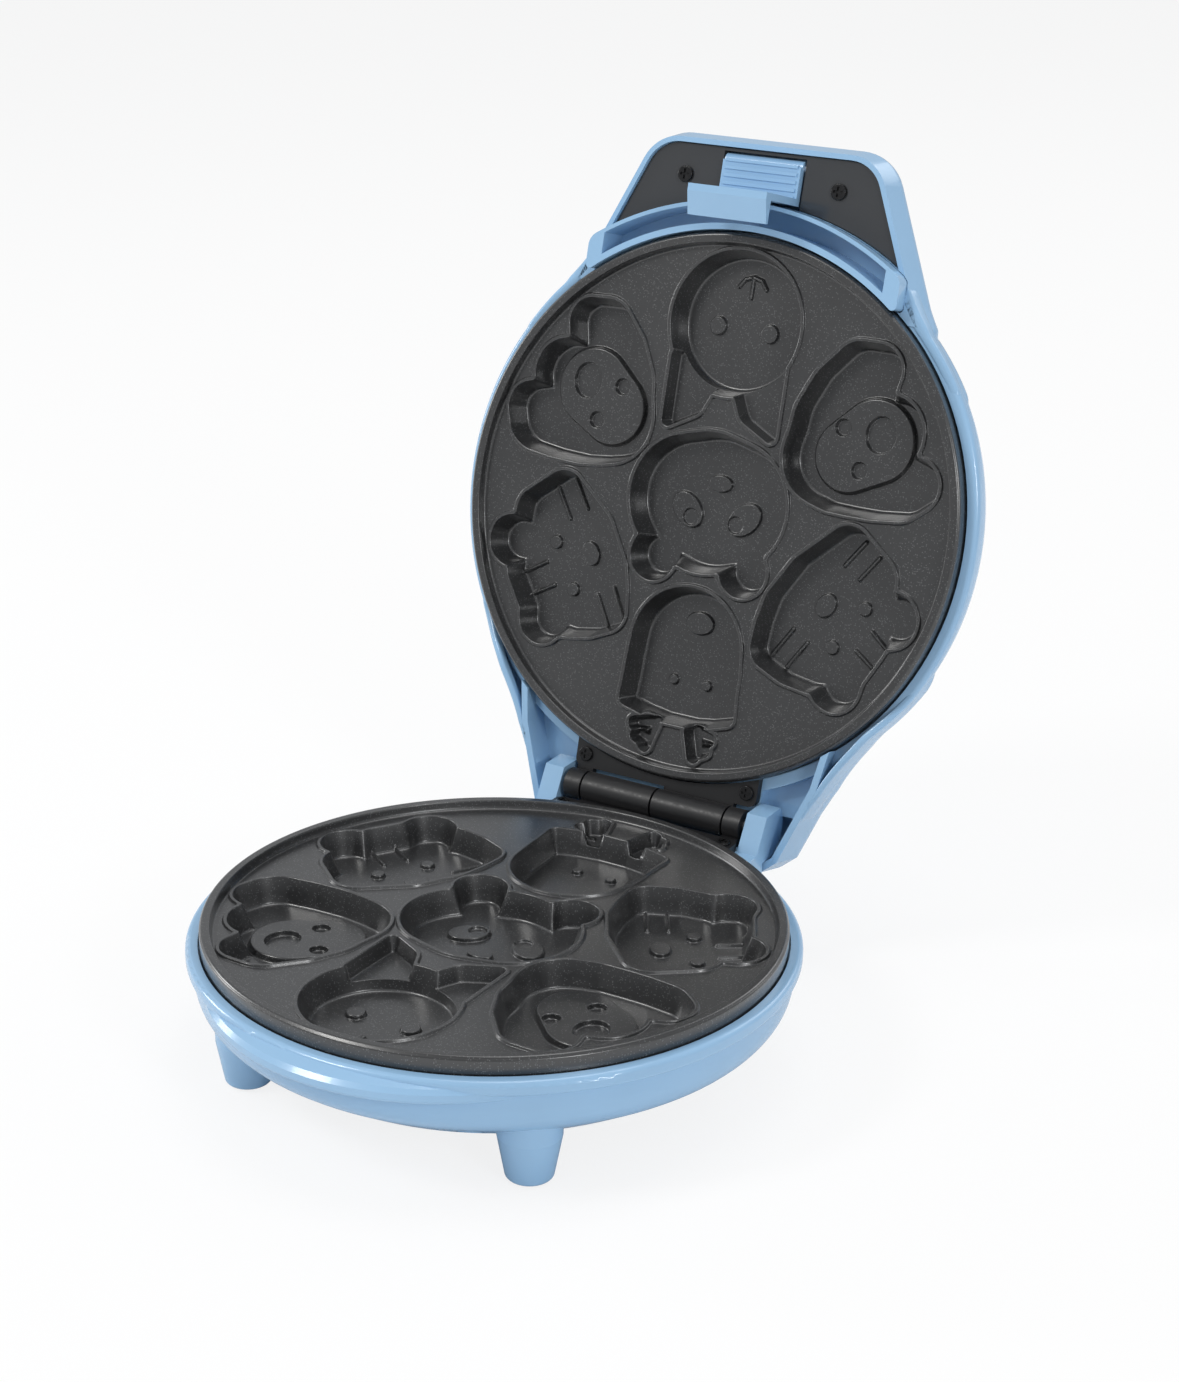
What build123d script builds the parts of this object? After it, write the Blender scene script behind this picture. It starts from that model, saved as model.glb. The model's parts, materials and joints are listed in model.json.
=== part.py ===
from build123d import *
import os
from math import sin, cos, radians, sqrt

# Countertop hinged cookie maker. Closed plan view: +X along the hinge, +Y from the
# handle to the hinge, +Z up. It stands on the plane z = 0 with its lid open, and is
# moved at the end so that the origin is the middle of its open outline on that plane.

# overall layout
plate_radius = 97.5          # both cooking plates
mating_height = 49.5         # rim of the lower plate above the table
closed_gap = 0.4             # between the two rims, lid shut
hinge_stand = 5.4            # hinge axis behind the housings' ring
open_angle = 104.6           # lid angle at its stop
seat_gap = 0.05              # between a piece and its seat in the same body
bridge_front_share = 0.5     # of a radius: where the hinge bridge starts, inside the wall
wing_front_share = 0.7071    # of a radius: where the tail's side pockets start
overrun = 1.0                # cutting tools pass a face by this much

# cooking plates, one casting each
rim_width = 3.6              # flat ring round the field
rim_chamfer = 0.8
field_drop = 3.2             # field below the rim
pocket_depth = 7.3           # pocket floor below the field
shallow_depth = 4.6          # ears and antlers below the field
pocket_draft = 12.0          # degrees
bead_width = 1.7
bead_height = 0.7
plate_skin = 3.0
pocket_skin = 2.2
skirt_height = 9.0
skirt_wall = 3.0
spot_height = 1.4            # eyes and noses above the pocket floor
stripe_width = 1.4
spot_root = 0.5              # roots of raised forms in the pocket floor
pad_height = 2.2             # dogs' face pads above the pocket floor
sunk_spot_lift = 0.4         # floors of sunk eyes and noses above the pocket floor
plate_boss_x = 41.3          # four fixing bosses under each plate
plate_boss_inset = 19.8      # inside the edge of the plate, front to back
plate_boss_radius = 5.0
plate_boss_drop = 14.0       # seat of a boss below the rim
plate_boss_hole_depth = 6.5

# heating elements
element_ring_radius = 47.0
element_tube_radius = 3.25
element_rib_radius = 5.6
element_rib_drop = 14.2      # rib underside below the rim
element_gap_angle = 44.0     # open part of the ring, towards the hinge
element_pin_radius = 1.3
element_pin_length = 8.0

# heat shields, pressed sheet
shield_inset = 11.7          # inside the outside of the bowl
shield_sheet = 0.6
shield_lip = 5.0
shield_drop = 21.0           # below the rim of its plate
shield_bend = 2.0

# housings: rounded ring, bowl
shell_wall = 2.5
ring_stand = 2.5             # past the bowl
ring_top_drop = 6.0          # ring face behind the mating plane
ring_height = 5.2
ring_round = 1.8
bowl_stand = 2.2             # past the plate
bowl_shoulder = 23.5         # start of the rounding behind the mating plane
bowl_depth = 36.5
bowl_foot_radius = 80.0
bowl_round = 13.0
bowl_foot_round = 12.0
plate_opening_gap = 0.6      # round the plate's skirt

# spout at the front of the lower housing, which the latch hooks under
spout_stand = 5.2            # past the ring
spout_plan_radius = 78.2
spout_bottom_drop = 13.4
spout_slope_width = 8.0
spout_slope_drop = 2.6
spout_nose = 1.4

# fixing posts, screws and studs
post_radius = 6.6
post_neck_radius = 4.3
post_web = 7.5
shield_hole_gap = 0.25
screw_head_radius = 3.4
screw_head_height = 2.2
screw_shank_radius = 1.9
cross_width = 0.9
cross_share = 0.62           # of the head's radius
cross_depth_share = 0.5      # of the head's height
counterbore_radius = 4.0
stud_flange_height = 1.2
stud_length = 6.0

# feet
foot_tip_radius = 7.6
foot_top_radius = 10.4
foot_height = 16.0
foot_tip_round = 1.8
foot_front_x = 54.7
foot_front_y = 64.5
foot_rear_x = 38.0
foot_rear_inset = 16.6       # in front of the hinge axis
pad_radius = 5.2
pad_recess = 1.2
pad_stand = 0.6

# hinge: two castings alike, one pin
barrel_radius = 5.75
pin_radius = 2.0
pin_bore_gap = 0.04
pin_end = 0.6                # pin end past the outer knuckle
barrel_half = 36.4
outer_knuckle = 6.6
knuckle_gap = 0.8
flange_thick = 3.0
flange_half = 37.6
flange_back = 6.4            # flange edge in front of the axis
flange_corner = 3.0
hinge_screw_x = 33.5
hinge_screw_back = 11.2      # screw in front of the axis
hinge_screw_head_radius = 2.7
hinge_screw_head_height = 1.0
hinge_screw_radius = 1.6
hinge_screw_length = 9.0

# ears and platform that carry the hinge on the lower housing
platform_half = 46.0
platform_reach = 4.33        # rear face in front of the axis
platform_depth = 20.0        # underside below the mating plane
ear_inner = 38.2
ear_rear_radius = 10.5
ear_top = 6.3                # above the axis
ear_slope_back = 9.1         # foot of the front slope in front of the axis
ear_slope_top = 2.1

# lid housing
tail_outline_shares = ((0.656, 0.75), (0.626, 0.923), (0.549, 1.128), (0.518, 1.21),
                       (0.451, 1.2677))
tail_corner = 5.0
tail_height = 25.0
tail_round = 9.0
tail_floor_width = 38.0      # half width of the floor that carries the bracket
tail_floor_height = 12.0
handle_length = 32.0         # past the plate
handle_root_share = 0.76     # of the plate radius, where the handle meets the bowl
handle_root_half = 69.8
handle_end_half = 45.6
handle_corner = 15.0
handle_face = 5.5            # rim of the grip behind the mating plane
handle_flare = 14.0          # degrees, sides open upwards
handle_flare_height = 9.0
handle_height = 15.0          # from the face of the grip
handle_round = 5.0
handle_rim = 1.8
insert_gap = 0.3
insert_face = 7.0
insert_thick = 2.0
handle_screw_x = 30.2
handle_screw_inset = 13.9    # from the end of the grip
handle_post_radius = 4.6
handle_screw_head_radius = 2.9
handle_screw_head_height = 1.2
handle_screw_radius = 1.5
handle_screw_length = 9.0

# crescent collar between plate and grip
collar_plate_gap = 0.8
collar_inner_lip = 2.2
collar_slot_width = 6.5
collar_outer_lip = 1.4
collar_half = 61.5
collar_slot_half = 55.6
collar_face = 0.6            # lips in front of the upper rim plane
collar_slot_depth = 13.0
collar_floor = 1.8
collar_outer_corner = 5.5
collar_inner_corner = 1.6
collar_seat_gap = 0.2

# latch
latch_half = 15.3
latch_pivot_inset = 7.3      # from the end of the grip
latch_pivot_height = 8.6     # behind the upper rim plane
latch_barrel_radius = 2.4
latch_plate_front = 5.0
latch_plate_thick = 3.0
latch_flange_stand = 4.1     # outer face past the spout
latch_flange_thick = 2.5
latch_hook_grip = 6.4        # length under the spout
latch_hook_tip_thick = 1.2
latch_hook_root_thick = 3.9
latch_hook_gap = 0.3         # below the spout
latch_rib_count = 5
latch_rib_height = 0.5
latch_rib_width = 1.1
latch_side_gap = 0.9
latch_end_gap = 0.6
latch_bridge = 1.0
latch_pin_radius = 1.2
latch_lug = 3.2
latch_lug_depth = 4.4

# indicator lenses in the crown
lens_radius = 3.0
lens_stand = 0.8
lens_flange = 1.0
lens_flange_thick = 1.0
lens_x = 9.0
lens_reach = 66.0
lens_gap = 0.1

# electrical pieces inside the base
thermostat_radius = 8.5
thermostat_height = 7.0
thermostat_x = 0.0
thermostat_back = 74.0
fuse_length = 22.0
fuse_radius = 2.4
fuse_x = 24.0                # to the left
fuse_back = 58.0
terminal_length = 26.0
terminal_width = 13.0
terminal_height = 7.0
terminal_x = 24.0
terminal_back = 58.0
terminal_ways = 3
terminal_bore = 1.6
gland_radius = 4.6
gland_bore = 3.0
gland_length = 6.5
gland_flange_radius = 5.6
gland_flange = 1.6
gland_height = 22.3          # above the table
gland_seat_half = 5.9
gland_seat_length = 18.6
gland_seat_inset = 1.1       # inside the outside of the bowl
gland_groove = 0.1

# the seven faces, as shares of the plate radius: x, y, radius of circles whose
# outer tangents bound each part of a mouth
deep_mouth_shares = {
    "deer": (
        ((0.0021, 0.5179, 0.2246), (-0.1467, 0.5949, 0.08), (0.1538, 0.5846, 0.0831),
         (-0.1436, 0.6615, 0.0779), (0.1467, 0.6667, 0.0769)),
        ((0.0021, 0.5179, 0.2246), (-0.2082, 0.7405, 0.0328), (0.2123, 0.7344, 0.0328),
         (-0.1333, 0.7282, 0.0626), (-0.0513, 0.7415, 0.0615), (0.0564, 0.7415, 0.0615),
         (0.1231, 0.7303, 0.0626)),
    ),
    "bear": (
        ((-0.0872, -0.0287, 0.2349), (0.0872, -0.0287, 0.2349), (0, -0.0267, 0.2585)),
        ((-0.1867, 0.1969, 0.0954),),
        ((0.1867, 0.1969, 0.0954),),
    ),
    "cat": (
        ((0.0031, -0.68, 0.2626),),
    ),
    "dog_right": (
        ((0.4441, -0.2615, 0.1641), (0.4923, -0.2287, 0.1518), (0.5641, -0.2103, 0.1354),
         (0.6462, -0.2031, 0.1272), (0.7385, -0.201, 0.1149), (0.7918, -0.2185, 0.0944)),
        ((0.4441, -0.2615, 0.1641), (0.4308, -0.3897, 0.1374), (0.4677, -0.4821, 0.1323),
         (0.5179, -0.5774, 0.1077), (0.5867, -0.5928, 0.0923)),
        ((0.4441, -0.2615, 0.1641), (0.6615, -0.3826, 0.1354)),
    ),
    "dog_left": (
        ((-0.4462, -0.2769, 0.1641), (-0.4923, -0.2421, 0.1467), (-0.5641, -0.2215, 0.1344),
         (-0.6667, -0.2205, 0.1292), (-0.759, -0.2308, 0.1272), (-0.7979, -0.2615, 0.0985)),
        ((-0.4462, -0.2769, 0.1641), (-0.4338, -0.4051, 0.1395), (-0.4718, -0.4974, 0.1333),
         (-0.5231, -0.5928, 0.1097), (-0.5897, -0.6082, 0.0923)),
        ((-0.4462, -0.2769, 0.1641), (-0.6636, -0.4031, 0.1364)),
    ),
    "tiger_right": (
        ((0.3508, 0.4462, 0.0851), (0.4308, 0.4667, 0.0985), (0.5128, 0.4749, 0.1026),
         (0.6359, 0.4718, 0.0913), (0.6974, 0.3538, 0.0923), (0.6872, 0.1385, 0.0995),
         (0.5867, 0.0513, 0.0923), (0.4718, 0.1846, 0.1118), (0.4051, 0.3026, 0.1159),
         (0.3744, 0.3744, 0.1015)),
        ((0.6185, 0.5303, 0.0974),),
        ((0.7918, 0.2615, 0.0985),),
    ),
    "tiger_left": (
        ((-0.3518, 0.4338, 0.0851), (-0.4308, 0.4544, 0.0985), (-0.5128, 0.4646, 0.1026),
         (-0.6359, 0.4615, 0.0913), (-0.7077, 0.3436, 0.0944), (-0.6974, 0.1282, 0.0995),
         (-0.6, 0.0431, 0.0933), (-0.4769, 0.1692, 0.1128), (-0.4082, 0.2954, 0.1169),
         (-0.3764, 0.3662, 0.1015)),
        ((-0.6215, 0.5179, 0.0974),),
        ((-0.7979, 0.2482, 0.0985),),
    ),
}
shallow_mouth_shares = {
    "deer": (
        ((0.0851, 0.8164, 0.0338), (0.1046, 0.9015, 0.0277)),
        ((0.1108, 0.8226, 0.0308), (0.1559, 0.8308, 0.0277)),
        ((0.119, 0.8821, 0.0277), (0.1436, 0.8738, 0.0267)),
        ((-0.0851, 0.8164, 0.0338), (-0.1046, 0.9015, 0.0277)),
        ((-0.1108, 0.8226, 0.0308), (-0.1559, 0.8308, 0.0277)),
        ((-0.119, 0.8821, 0.0277), (-0.1436, 0.8738, 0.0267)),
    ),
    "cat": (
        ((0.2113, -0.3026, 0.0246), (0.1395, -0.3938, 0.0728), (0.0574, -0.4462, 0.0205),
         (0.2082, -0.5333, 0.0267)),
        ((-0.2113, -0.3026, 0.0246), (-0.1395, -0.3938, 0.0728), (-0.0574, -0.4462, 0.0205),
         (-0.2082, -0.5333, 0.0267)),
    ),
}
# raised pad that carries the eyes and nose of each dog
face_pad_shares = {
    "dog_right": ((0.4964, -0.279, 0.1333), (0.5887, -0.3436, 0.1518)),
    "dog_left": ((-0.4892, -0.3026, 0.1374), (-0.5805, -0.3682, 0.1497)),
}
# x, y, half length, half width as shares, then the turn in degrees
raised_spot_shares = {
    "deer": (
        (-0.0595, 0.6472, 0.0195, 0.0195, 0),
        (0.08, 0.6472, 0.0195, 0.0195, 0),
        (0.0133, 0.4226, 0.0574, 0.0421, 0),
    ),
    "bear": (
        (-0.1097, 0.0144, 0.0749, 0.0533, 42),
        (0.1282, 0.0164, 0.0749, 0.0533, -42),
        (0.0103, -0.0995, 0.0482, 0.0308, 0),
    ),
    "cat": (
        (-0.0995, -0.6646, 0.0338, 0.0338, 0),
        (0.1128, -0.6605, 0.0338, 0.0338, 0),
    ),
    "tiger_right": (
        (0.5559, 0.4082, 0.0256, 0.0256, 0),
        (0.6585, 0.2482, 0.0256, 0.0256, 0),
        (0.5056, 0.2636, 0.0369, 0.0472, 31),
    ),
    "tiger_left": (
        (-0.5436, 0.3959, 0.0256, 0.0256, 0),
        (-0.6462, 0.2308, 0.0256, 0.0256, 0),
        (-0.4903, 0.2482, 0.0369, 0.0472, -31),
    ),
}
# eyes and noses sunk in a pad or patch
sunk_spot_shares = {
    "bear": (
        (-0.0903, 0.039, 0.0308, 0.0308, 0),
        (0.0964, 0.04, 0.0308, 0.0308, 0),
    ),
    "dog_right": (
        (0.5477, -0.2328, 0.0297, 0.0297, 0),
        (0.4595, -0.3744, 0.0297, 0.0297, 0),
        (0.6082, -0.3692, 0.0574, 0.0656, 0),
    ),
    "dog_left": (
        (-0.5467, -0.2523, 0.0297, 0.0297, 0),
        (-0.4574, -0.3887, 0.0297, 0.0297, 0),
        (-0.6082, -0.3918, 0.0574, 0.0667, 0),
    ),
}
# both ends of each raised line
raised_stripe_shares = {
    "cat": (
        (0.0144, -0.7795, 0.0144, -0.8533),
        (-0.04, -0.8144, -0.0185, -0.8431),
        (-0.0185, -0.8431, 0.0144, -0.8533),
        (0.0144, -0.8533, 0.0492, -0.8431),
        (0.0492, -0.8431, 0.0708, -0.8144),
    ),
    "tiger_right": (
        (0.3231, 0.48, 0.3928, 0.3703),
        (0.3887, 0.5128, 0.4554, 0.4103),
        (0.6492, 0.4021, 0.721, 0.4513),
        (0.6995, 0.3251, 0.7672, 0.3774),
        (0.5518, 0.1087, 0.6195, 0.0144),
        (0.6174, 0.1487, 0.681, 0.0595),
    ),
    "tiger_left": (
        (-0.3138, 0.4636, -0.3703, 0.3579),
        (-0.3733, 0.5056, -0.4349, 0.3979),
        (-0.7241, 0.4482, -0.6287, 0.3938),
        (-0.7692, 0.3692, -0.6769, 0.3128),
        (-0.6021, 0.1333, -0.6728, 0.0226),
        (-0.5344, 0.0841, -0.6, -0.0174),
    ),
}

# derived
axis_height = mating_height + closed_gap / 2
lid_base = mating_height + closed_gap
ring_top = mating_height - ring_top_drop
field_radius = plate_radius - rim_width
opening_radius = plate_radius + plate_opening_gap
pocket_floor = field_drop + pocket_depth
pocket_under = pocket_floor + pocket_skin
bowl_radius = plate_radius + bowl_stand
ring_radius = bowl_radius + ring_stand
hinge_back = ring_radius + hinge_stand
spout_reach = ring_radius + spout_stand
shield_radius = bowl_radius - shield_inset
foot_rear_y = hinge_back - foot_rear_inset
gland_seat_rear = bowl_radius - gland_seat_inset
gland_seat_front = gland_seat_rear - gland_seat_length
collar_inner = plate_radius + collar_plate_gap
collar_slot_inner = collar_inner + collar_inner_lip
collar_slot_outer = collar_slot_inner + collar_slot_width
collar_outer = collar_slot_outer + collar_outer_lip
handle_reach = plate_radius + handle_length
handle_screw_reach = handle_reach - handle_screw_inset
latch_pivot_reach = handle_reach - latch_pivot_inset
latch_flange_reach = spout_reach + latch_flange_stand
latch_hook_tip = spout_reach - latch_hook_grip
plate_boss_y = plate_radius - plate_boss_inset
boss_places = [(sx * plate_boss_x, sy * plate_boss_y) for sx in (-1, 1) for sy in (-1, 1)]


def tan_of(angle):
    return sin(radians(angle)) / cos(radians(angle))


def cylinder(radius, low, high, x=0, y=0):
    return Pos(x, y, low) * extrude(Circle(radius), high - low)


def box(x0, x1, y0, y1, z0, z1):
    return Pos((x0 + x1) / 2, (y0 + y1) / 2, z0) * extrude(Rectangle(x1 - x0, y1 - y0), z1 - z0)


def side_prism(points, x0, x1):
    """Prism along X of an outline of (y, z) points."""
    face = make_face(Polyline(*[(0, y, z) for y, z in points], close=True))
    return Pos(x0, 0, 0) * extrude(face, x1 - x0, dir=(1, 0, 0))


def rod(radius, x0, x1, y, z):
    face = Plane(origin=(x0, y, z), z_dir=(1, 0, 0)) * Circle(radius)
    return extrude(face, x1 - x0)


def turned(points, rounds=()):
    """Solid of revolution of an (r, z) outline; rounds gives (point index, radius)."""
    face = make_face(Polyline(*[(r, 0, z) for r, z in points], close=True))
    for index, radius in rounds:
        r, z = points[index]
        face = round_corner(face, (r, 0, z), radius)
    return revolve(face, Axis.Z)


def round_corner(face, place, radius):
    face = face.faces()[0]
    corner = face.vertices().sort_by_distance(place)[0]
    return face.fillet_2d(radius, [corner])


def mouth_face(circles, grow):
    discs = [(x * plate_radius, y * plate_radius, r * plate_radius + grow)
             for x, y, r in circles]
    if len(discs) == 1:
        x, y, r = discs[0]
        return Pos(x, y) * Circle(r)
    return make_hull([(Pos(x, y) * Circle(r)).edge() for x, y, r in discs])


def outline_block(hulls, grow, top, depth):
    """Solid below the height top inside one grown outline."""
    face = mouth_face(hulls[0], grow)
    for circles in hulls[1:]:
        face += mouth_face(circles, grow)
    return Pos(0, 0, top - depth) * extrude(face, depth)


def spot_face(x, y, half_length, half_width, turn):
    """Oval or round face from a row of shares."""
    face = Circle(half_length * plate_radius) if half_length == half_width else Ellipse(
        half_length * plate_radius, half_width * plate_radius)
    return Pos(x * plate_radius, y * plate_radius) * Rot(0, 0, turn) * face


def drafted_block(circles, top, depth):
    """Solid that narrows downwards by the pocket's draft."""
    face = Pos(0, 0, top) * mouth_face(circles, 0)
    floor = Pos(0, 0, top - depth) * mouth_face(circles, -depth * tan_of(pocket_draft))
    return loft([face.faces()[0], floor.faces()[0]], ruled=True)


def screw(head_radius, head_height, shank_radius, length):
    """Cross-head screw: head seat at z = 0, head above, shank below."""
    head = cylinder(head_radius, 0, head_height)
    rim = head.edges().filter_by(GeomType.CIRCLE).sort_by(Axis.Z)[-1]
    head = fillet(rim, head_height / 3)
    arm = 2 * head_radius * cross_share
    depth = head_height * cross_depth_share
    for span in ((arm, cross_width), (cross_width, arm)):
        head -= Pos(0, 0, head_height - depth) * extrude(Rectangle(*span), depth + overrun)
    return head + cylinder(shank_radius, -length, 0)


def below_rim(shape):
    return Pos(0, 0, mating_height) * shape


def mirrored(shape):
    return mirror(shape, about=Plane.XY)


opening = (Pos(0, hinge_back, axis_height) * Rot(-open_angle, 0, 0)
           * Pos(0, -hinge_back, -axis_height))


def on_lid(shape):
    """From lid heights, measured up from the shut upper rim plane, to the open lid."""
    return opening * (Pos(0, 0, lid_base) * shape)


# cooking plate, rim plane at z = 0, field and pockets open upwards
def cook_plate():
    outline = [(0, -field_drop), (field_radius - bead_height, -field_drop),
               (field_radius, -field_drop + bead_height), (field_radius, -rim_chamfer / 2),
               (field_radius + rim_chamfer / 2, 0), (plate_radius - rim_chamfer, 0),
               (plate_radius, -rim_chamfer), (plate_radius, -skirt_height),
               (plate_radius - skirt_wall, -skirt_height),
               (plate_radius - skirt_wall, -field_drop - plate_skin),
               (0, -field_drop - plate_skin)]
    body = turned(outline)
    under = -field_drop - plate_skin / 2
    shallow_under = field_drop + shallow_depth + pocket_skin
    for hulls in deep_mouth_shares.values():
        body += outline_block(hulls, pocket_skin, under, pocket_under + under)
    for hulls in shallow_mouth_shares.values():
        body += outline_block(hulls, pocket_skin, under, shallow_under + under)
    mouths = {name: hulls + shallow_mouth_shares.get(name, ())
              for name, hulls in deep_mouth_shares.items()}
    for hulls in mouths.values():
        body += outline_block(hulls, bead_width, -field_drop + bead_height,
                              bead_height + plate_skin / 2)
    rib = cylinder(element_ring_radius + element_rib_radius, -element_rib_drop, under) \
        - cylinder(element_ring_radius - element_rib_radius, -element_rib_drop - overrun,
                   under + overrun)
    body += rib
    for x, y in boss_places:
        body += cylinder(plate_boss_radius, -plate_boss_drop, under, x, y)
    tops = -field_drop + bead_height + overrun
    for hulls in mouths.values():
        body -= outline_block(hulls, 0, tops, tops + field_drop)
    for table, depth in ((deep_mouth_shares, pocket_depth), (shallow_mouth_shares, shallow_depth)):
        for hulls in table.values():
            for circles in hulls:
                body -= drafted_block(circles, -field_drop, depth)
    body -= Pos(0, 0, element_height()) * Torus(element_ring_radius,
                                                 element_tube_radius + seat_gap)
    body -= [cylinder(screw_shank_radius + seat_gap, -plate_boss_drop - overrun,
                      -plate_boss_drop + plate_boss_hole_depth, x, y) for x, y in boss_places]
    spots = [Pos(0, 0, -pocket_floor - spot_root) * extrude(
        mouth_face(circles, 0), pad_height + spot_root) for circles in face_pad_shares.values()]
    for rows in raised_spot_shares.values():
        for row in rows:
            spots.append(Pos(0, 0, -pocket_floor - spot_root) * extrude(
                spot_face(*row), spot_height + spot_root))
    for rows in raised_stripe_shares.values():
        for x0, y0, x1, y1 in rows:
            centre = ((x0 + x1) / 2 * plate_radius, (y0 + y1) / 2 * plate_radius)
            run = Vector(x1 - x0, y1 - y0) * plate_radius
            turn = Vector(1, 0).get_signed_angle(run)
            face = Pos(*centre) * Rot(0, 0, turn) * SlotCenterToCenter(run.length, stripe_width)
            spots.append(Pos(0, 0, -pocket_floor - spot_root) * extrude(
                face, spot_height + spot_root))
    body += spots
    for rows in sunk_spot_shares.values():
        body -= [Pos(0, 0, sunk_spot_lift - pocket_floor) * extrude(spot_face(*row), pad_height)
                 for row in rows]
    return body


def element_height():
    return -element_rib_drop - element_tube_radius / 3


def heating_element():
    low = 90 + element_gap_angle / 2
    sweep_angle = 360 - element_gap_angle
    ring = CenterArc((0, 0), element_ring_radius, low, sweep_angle)
    ends = []
    for angle, sense in ((low, -1), (low + sweep_angle, 1)):
        a = radians(angle)
        start = Vector(cos(a), sin(a)) * element_ring_radius
        along = Vector(-sin(a), cos(a)) * sense
        ends.append((start, along))
    tube = sweep(Plane(origin=ring @ 0, z_dir=ring % 0) * Circle(element_tube_radius), path=ring)
    for start, along in ends:
        pin = extrude(Plane(origin=start - along * element_pin_radius, z_dir=along)
                      * Circle(element_pin_radius), element_pin_length + element_pin_radius)
        tube += pin
    return Pos(0, 0, element_height()) * tube


def heat_shield():
    z = -shield_drop
    sheet = turned([(0, z), (shield_radius - shield_bend, z),
                    (shield_radius, z + shield_bend), (shield_radius, z + shield_lip),
                    (shield_radius - shield_sheet, z + shield_lip),
                    (shield_radius - shield_sheet, z + shield_bend + shield_sheet / 2),
                    (shield_radius - shield_bend - shield_sheet / 2, z + shield_sheet),
                    (0, z + shield_sheet)])
    for x, y in boss_places:
        sheet -= cylinder(post_neck_radius + shield_hole_gap, z - overrun, z + shield_lip, x, y)
    return sheet


# housing bowl, rim plane at z = 0, opening upwards
def bowl_outline(wall=0):
    drop = ring_top_drop
    return [(0, -bowl_depth + wall), (bowl_foot_radius - wall / 2, -bowl_depth + wall),
            (bowl_radius - wall, -bowl_shoulder + wall / 2), (bowl_radius - wall, -drop)]


def bowl_outer():
    low, foot, shoulder, top = bowl_outline()
    body = turned([low, foot, shoulder, top, (0, -ring_top_drop)],
                  ((1, bowl_foot_round), (2, bowl_round)))
    ring = turned([(0, -ring_top_drop), (ring_radius, -ring_top_drop),
                   (ring_radius, -ring_top_drop - ring_height),
                   (0, -ring_top_drop - ring_height)],
                  ((1, ring_round), (2, ring_round)))
    return body + ring


def bowl_inner():
    low, foot, shoulder, top = bowl_outline(shell_wall)
    return turned([low, foot, shoulder, (top[0], -ring_top_drop + overrun),
                   (0, -ring_top_drop + overrun)],
                  ((1, bowl_foot_round - shell_wall / 2), (2, bowl_round - shell_wall / 2)))


def plate_opening():
    return cylinder(opening_radius, -skirt_height - overrun, overrun)


def shield_posts(floor):
    """Posts under the bosses: shoulder for the shield, neck through it, seat on top."""
    posts = []
    for x, y in boss_places:
        post = cylinder(post_radius, floor, -shield_drop, x, y)
        post += cylinder(post_neck_radius, floor, -plate_boss_drop, x, y)
        posts.append(post & bowl_outer())
    return posts


# lower housing, in table heights
def lower_housing():
    body = below_rim(bowl_outer())
    spout_low = mating_height - spout_bottom_drop
    reach = spout_plan_radius
    spout = turned([(0, ring_top), (reach - spout_slope_width, ring_top),
                    (reach - spout_nose, ring_top - spout_slope_drop),
                    (reach, ring_top - spout_slope_drop - spout_nose),
                    (reach, spout_low), (0, spout_low)],
                   ((4, spout_nose),))
    spout = Pos(0, spout_plan_radius - spout_reach, 0) * spout
    spout &= box(-ring_radius, ring_radius, -2 * ring_radius, -bowl_radius / 2, 0, axis_height)
    body += spout
    rear = hinge_back - platform_reach
    platform_low = mating_height - platform_depth
    body += box(-platform_half, platform_half, ring_radius * bridge_front_share, rear,
                platform_low, ring_top)
    slope = [(hinge_back - ear_slope_back, ring_top),
             (hinge_back - ear_slope_top, axis_height + ear_top),
             (hinge_back, axis_height + ear_top), (hinge_back, axis_height - ear_rear_radius),
             (rear, axis_height - ear_rear_radius), (rear, platform_low),
             (hinge_back - ear_slope_back, platform_low)]
    for side in (-1, 1):
        x0, x1 = sorted((side * ear_inner, side * platform_half))
        body += side_prism(slope, x0, x1)
        round_end = rod(ear_rear_radius, x0, x1, hinge_back, axis_height)
        body += round_end & box(x0, x1, hinge_back, hinge_back + 2 * ear_rear_radius, 0,
                                axis_height + ear_top)
    body -= below_rim(bowl_inner()) - [below_rim(post) for post in shield_posts(-bowl_depth)]
    body -= below_rim(plate_opening())
    web_low = mating_height - plate_boss_drop - post_web
    for x, y in boss_places:
        body -= cylinder(screw_shank_radius + seat_gap, 0, mating_height, x, y)
        body -= cylinder(counterbore_radius, 0, web_low, x, y)
    for side in (-1, 1):
        body -= cylinder(hinge_screw_radius + seat_gap, ring_top - hinge_screw_length,
                         ring_top + overrun, side * hinge_screw_x, hinge_back - hinge_screw_back)
    body += box(-gland_seat_half, gland_seat_half, gland_seat_front, gland_seat_rear,
                gland_height - gland_seat_half, gland_height + gland_seat_half)
    body -= rod_y(gland_radius + gland_groove, 0, gland_height, gland_seat_front - overrun,
                  gland_seat_rear + overrun)
    return body


def rod_y(radius, x, z, y0, y1):
    return extrude(Plane(origin=(x, y0, z), z_dir=(0, 1, 0)) * Circle(radius), y1 - y0)


def foot_places():
    return [(-foot_front_x, -foot_front_y), (foot_front_x, -foot_front_y),
            (-foot_rear_x, foot_rear_y), (foot_rear_x, foot_rear_y)]


def foot(x, y):
    """Cone up to foot_height, straight above it up to the bowl, hollowed for its pad."""
    top = mating_height - (bowl_shoulder if y < 0 else platform_depth)
    low = pad_stand
    leg = turned([(0, low), (foot_tip_radius, low), (foot_top_radius, foot_height),
                  (foot_top_radius, top), (0, top)], ((1, foot_tip_round),))
    leg = Pos(x, y, 0) * leg - below_rim(bowl_outer())
    return leg - cylinder(pad_radius + seat_gap, -overrun, pad_stand + pad_recess, x, y)


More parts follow.
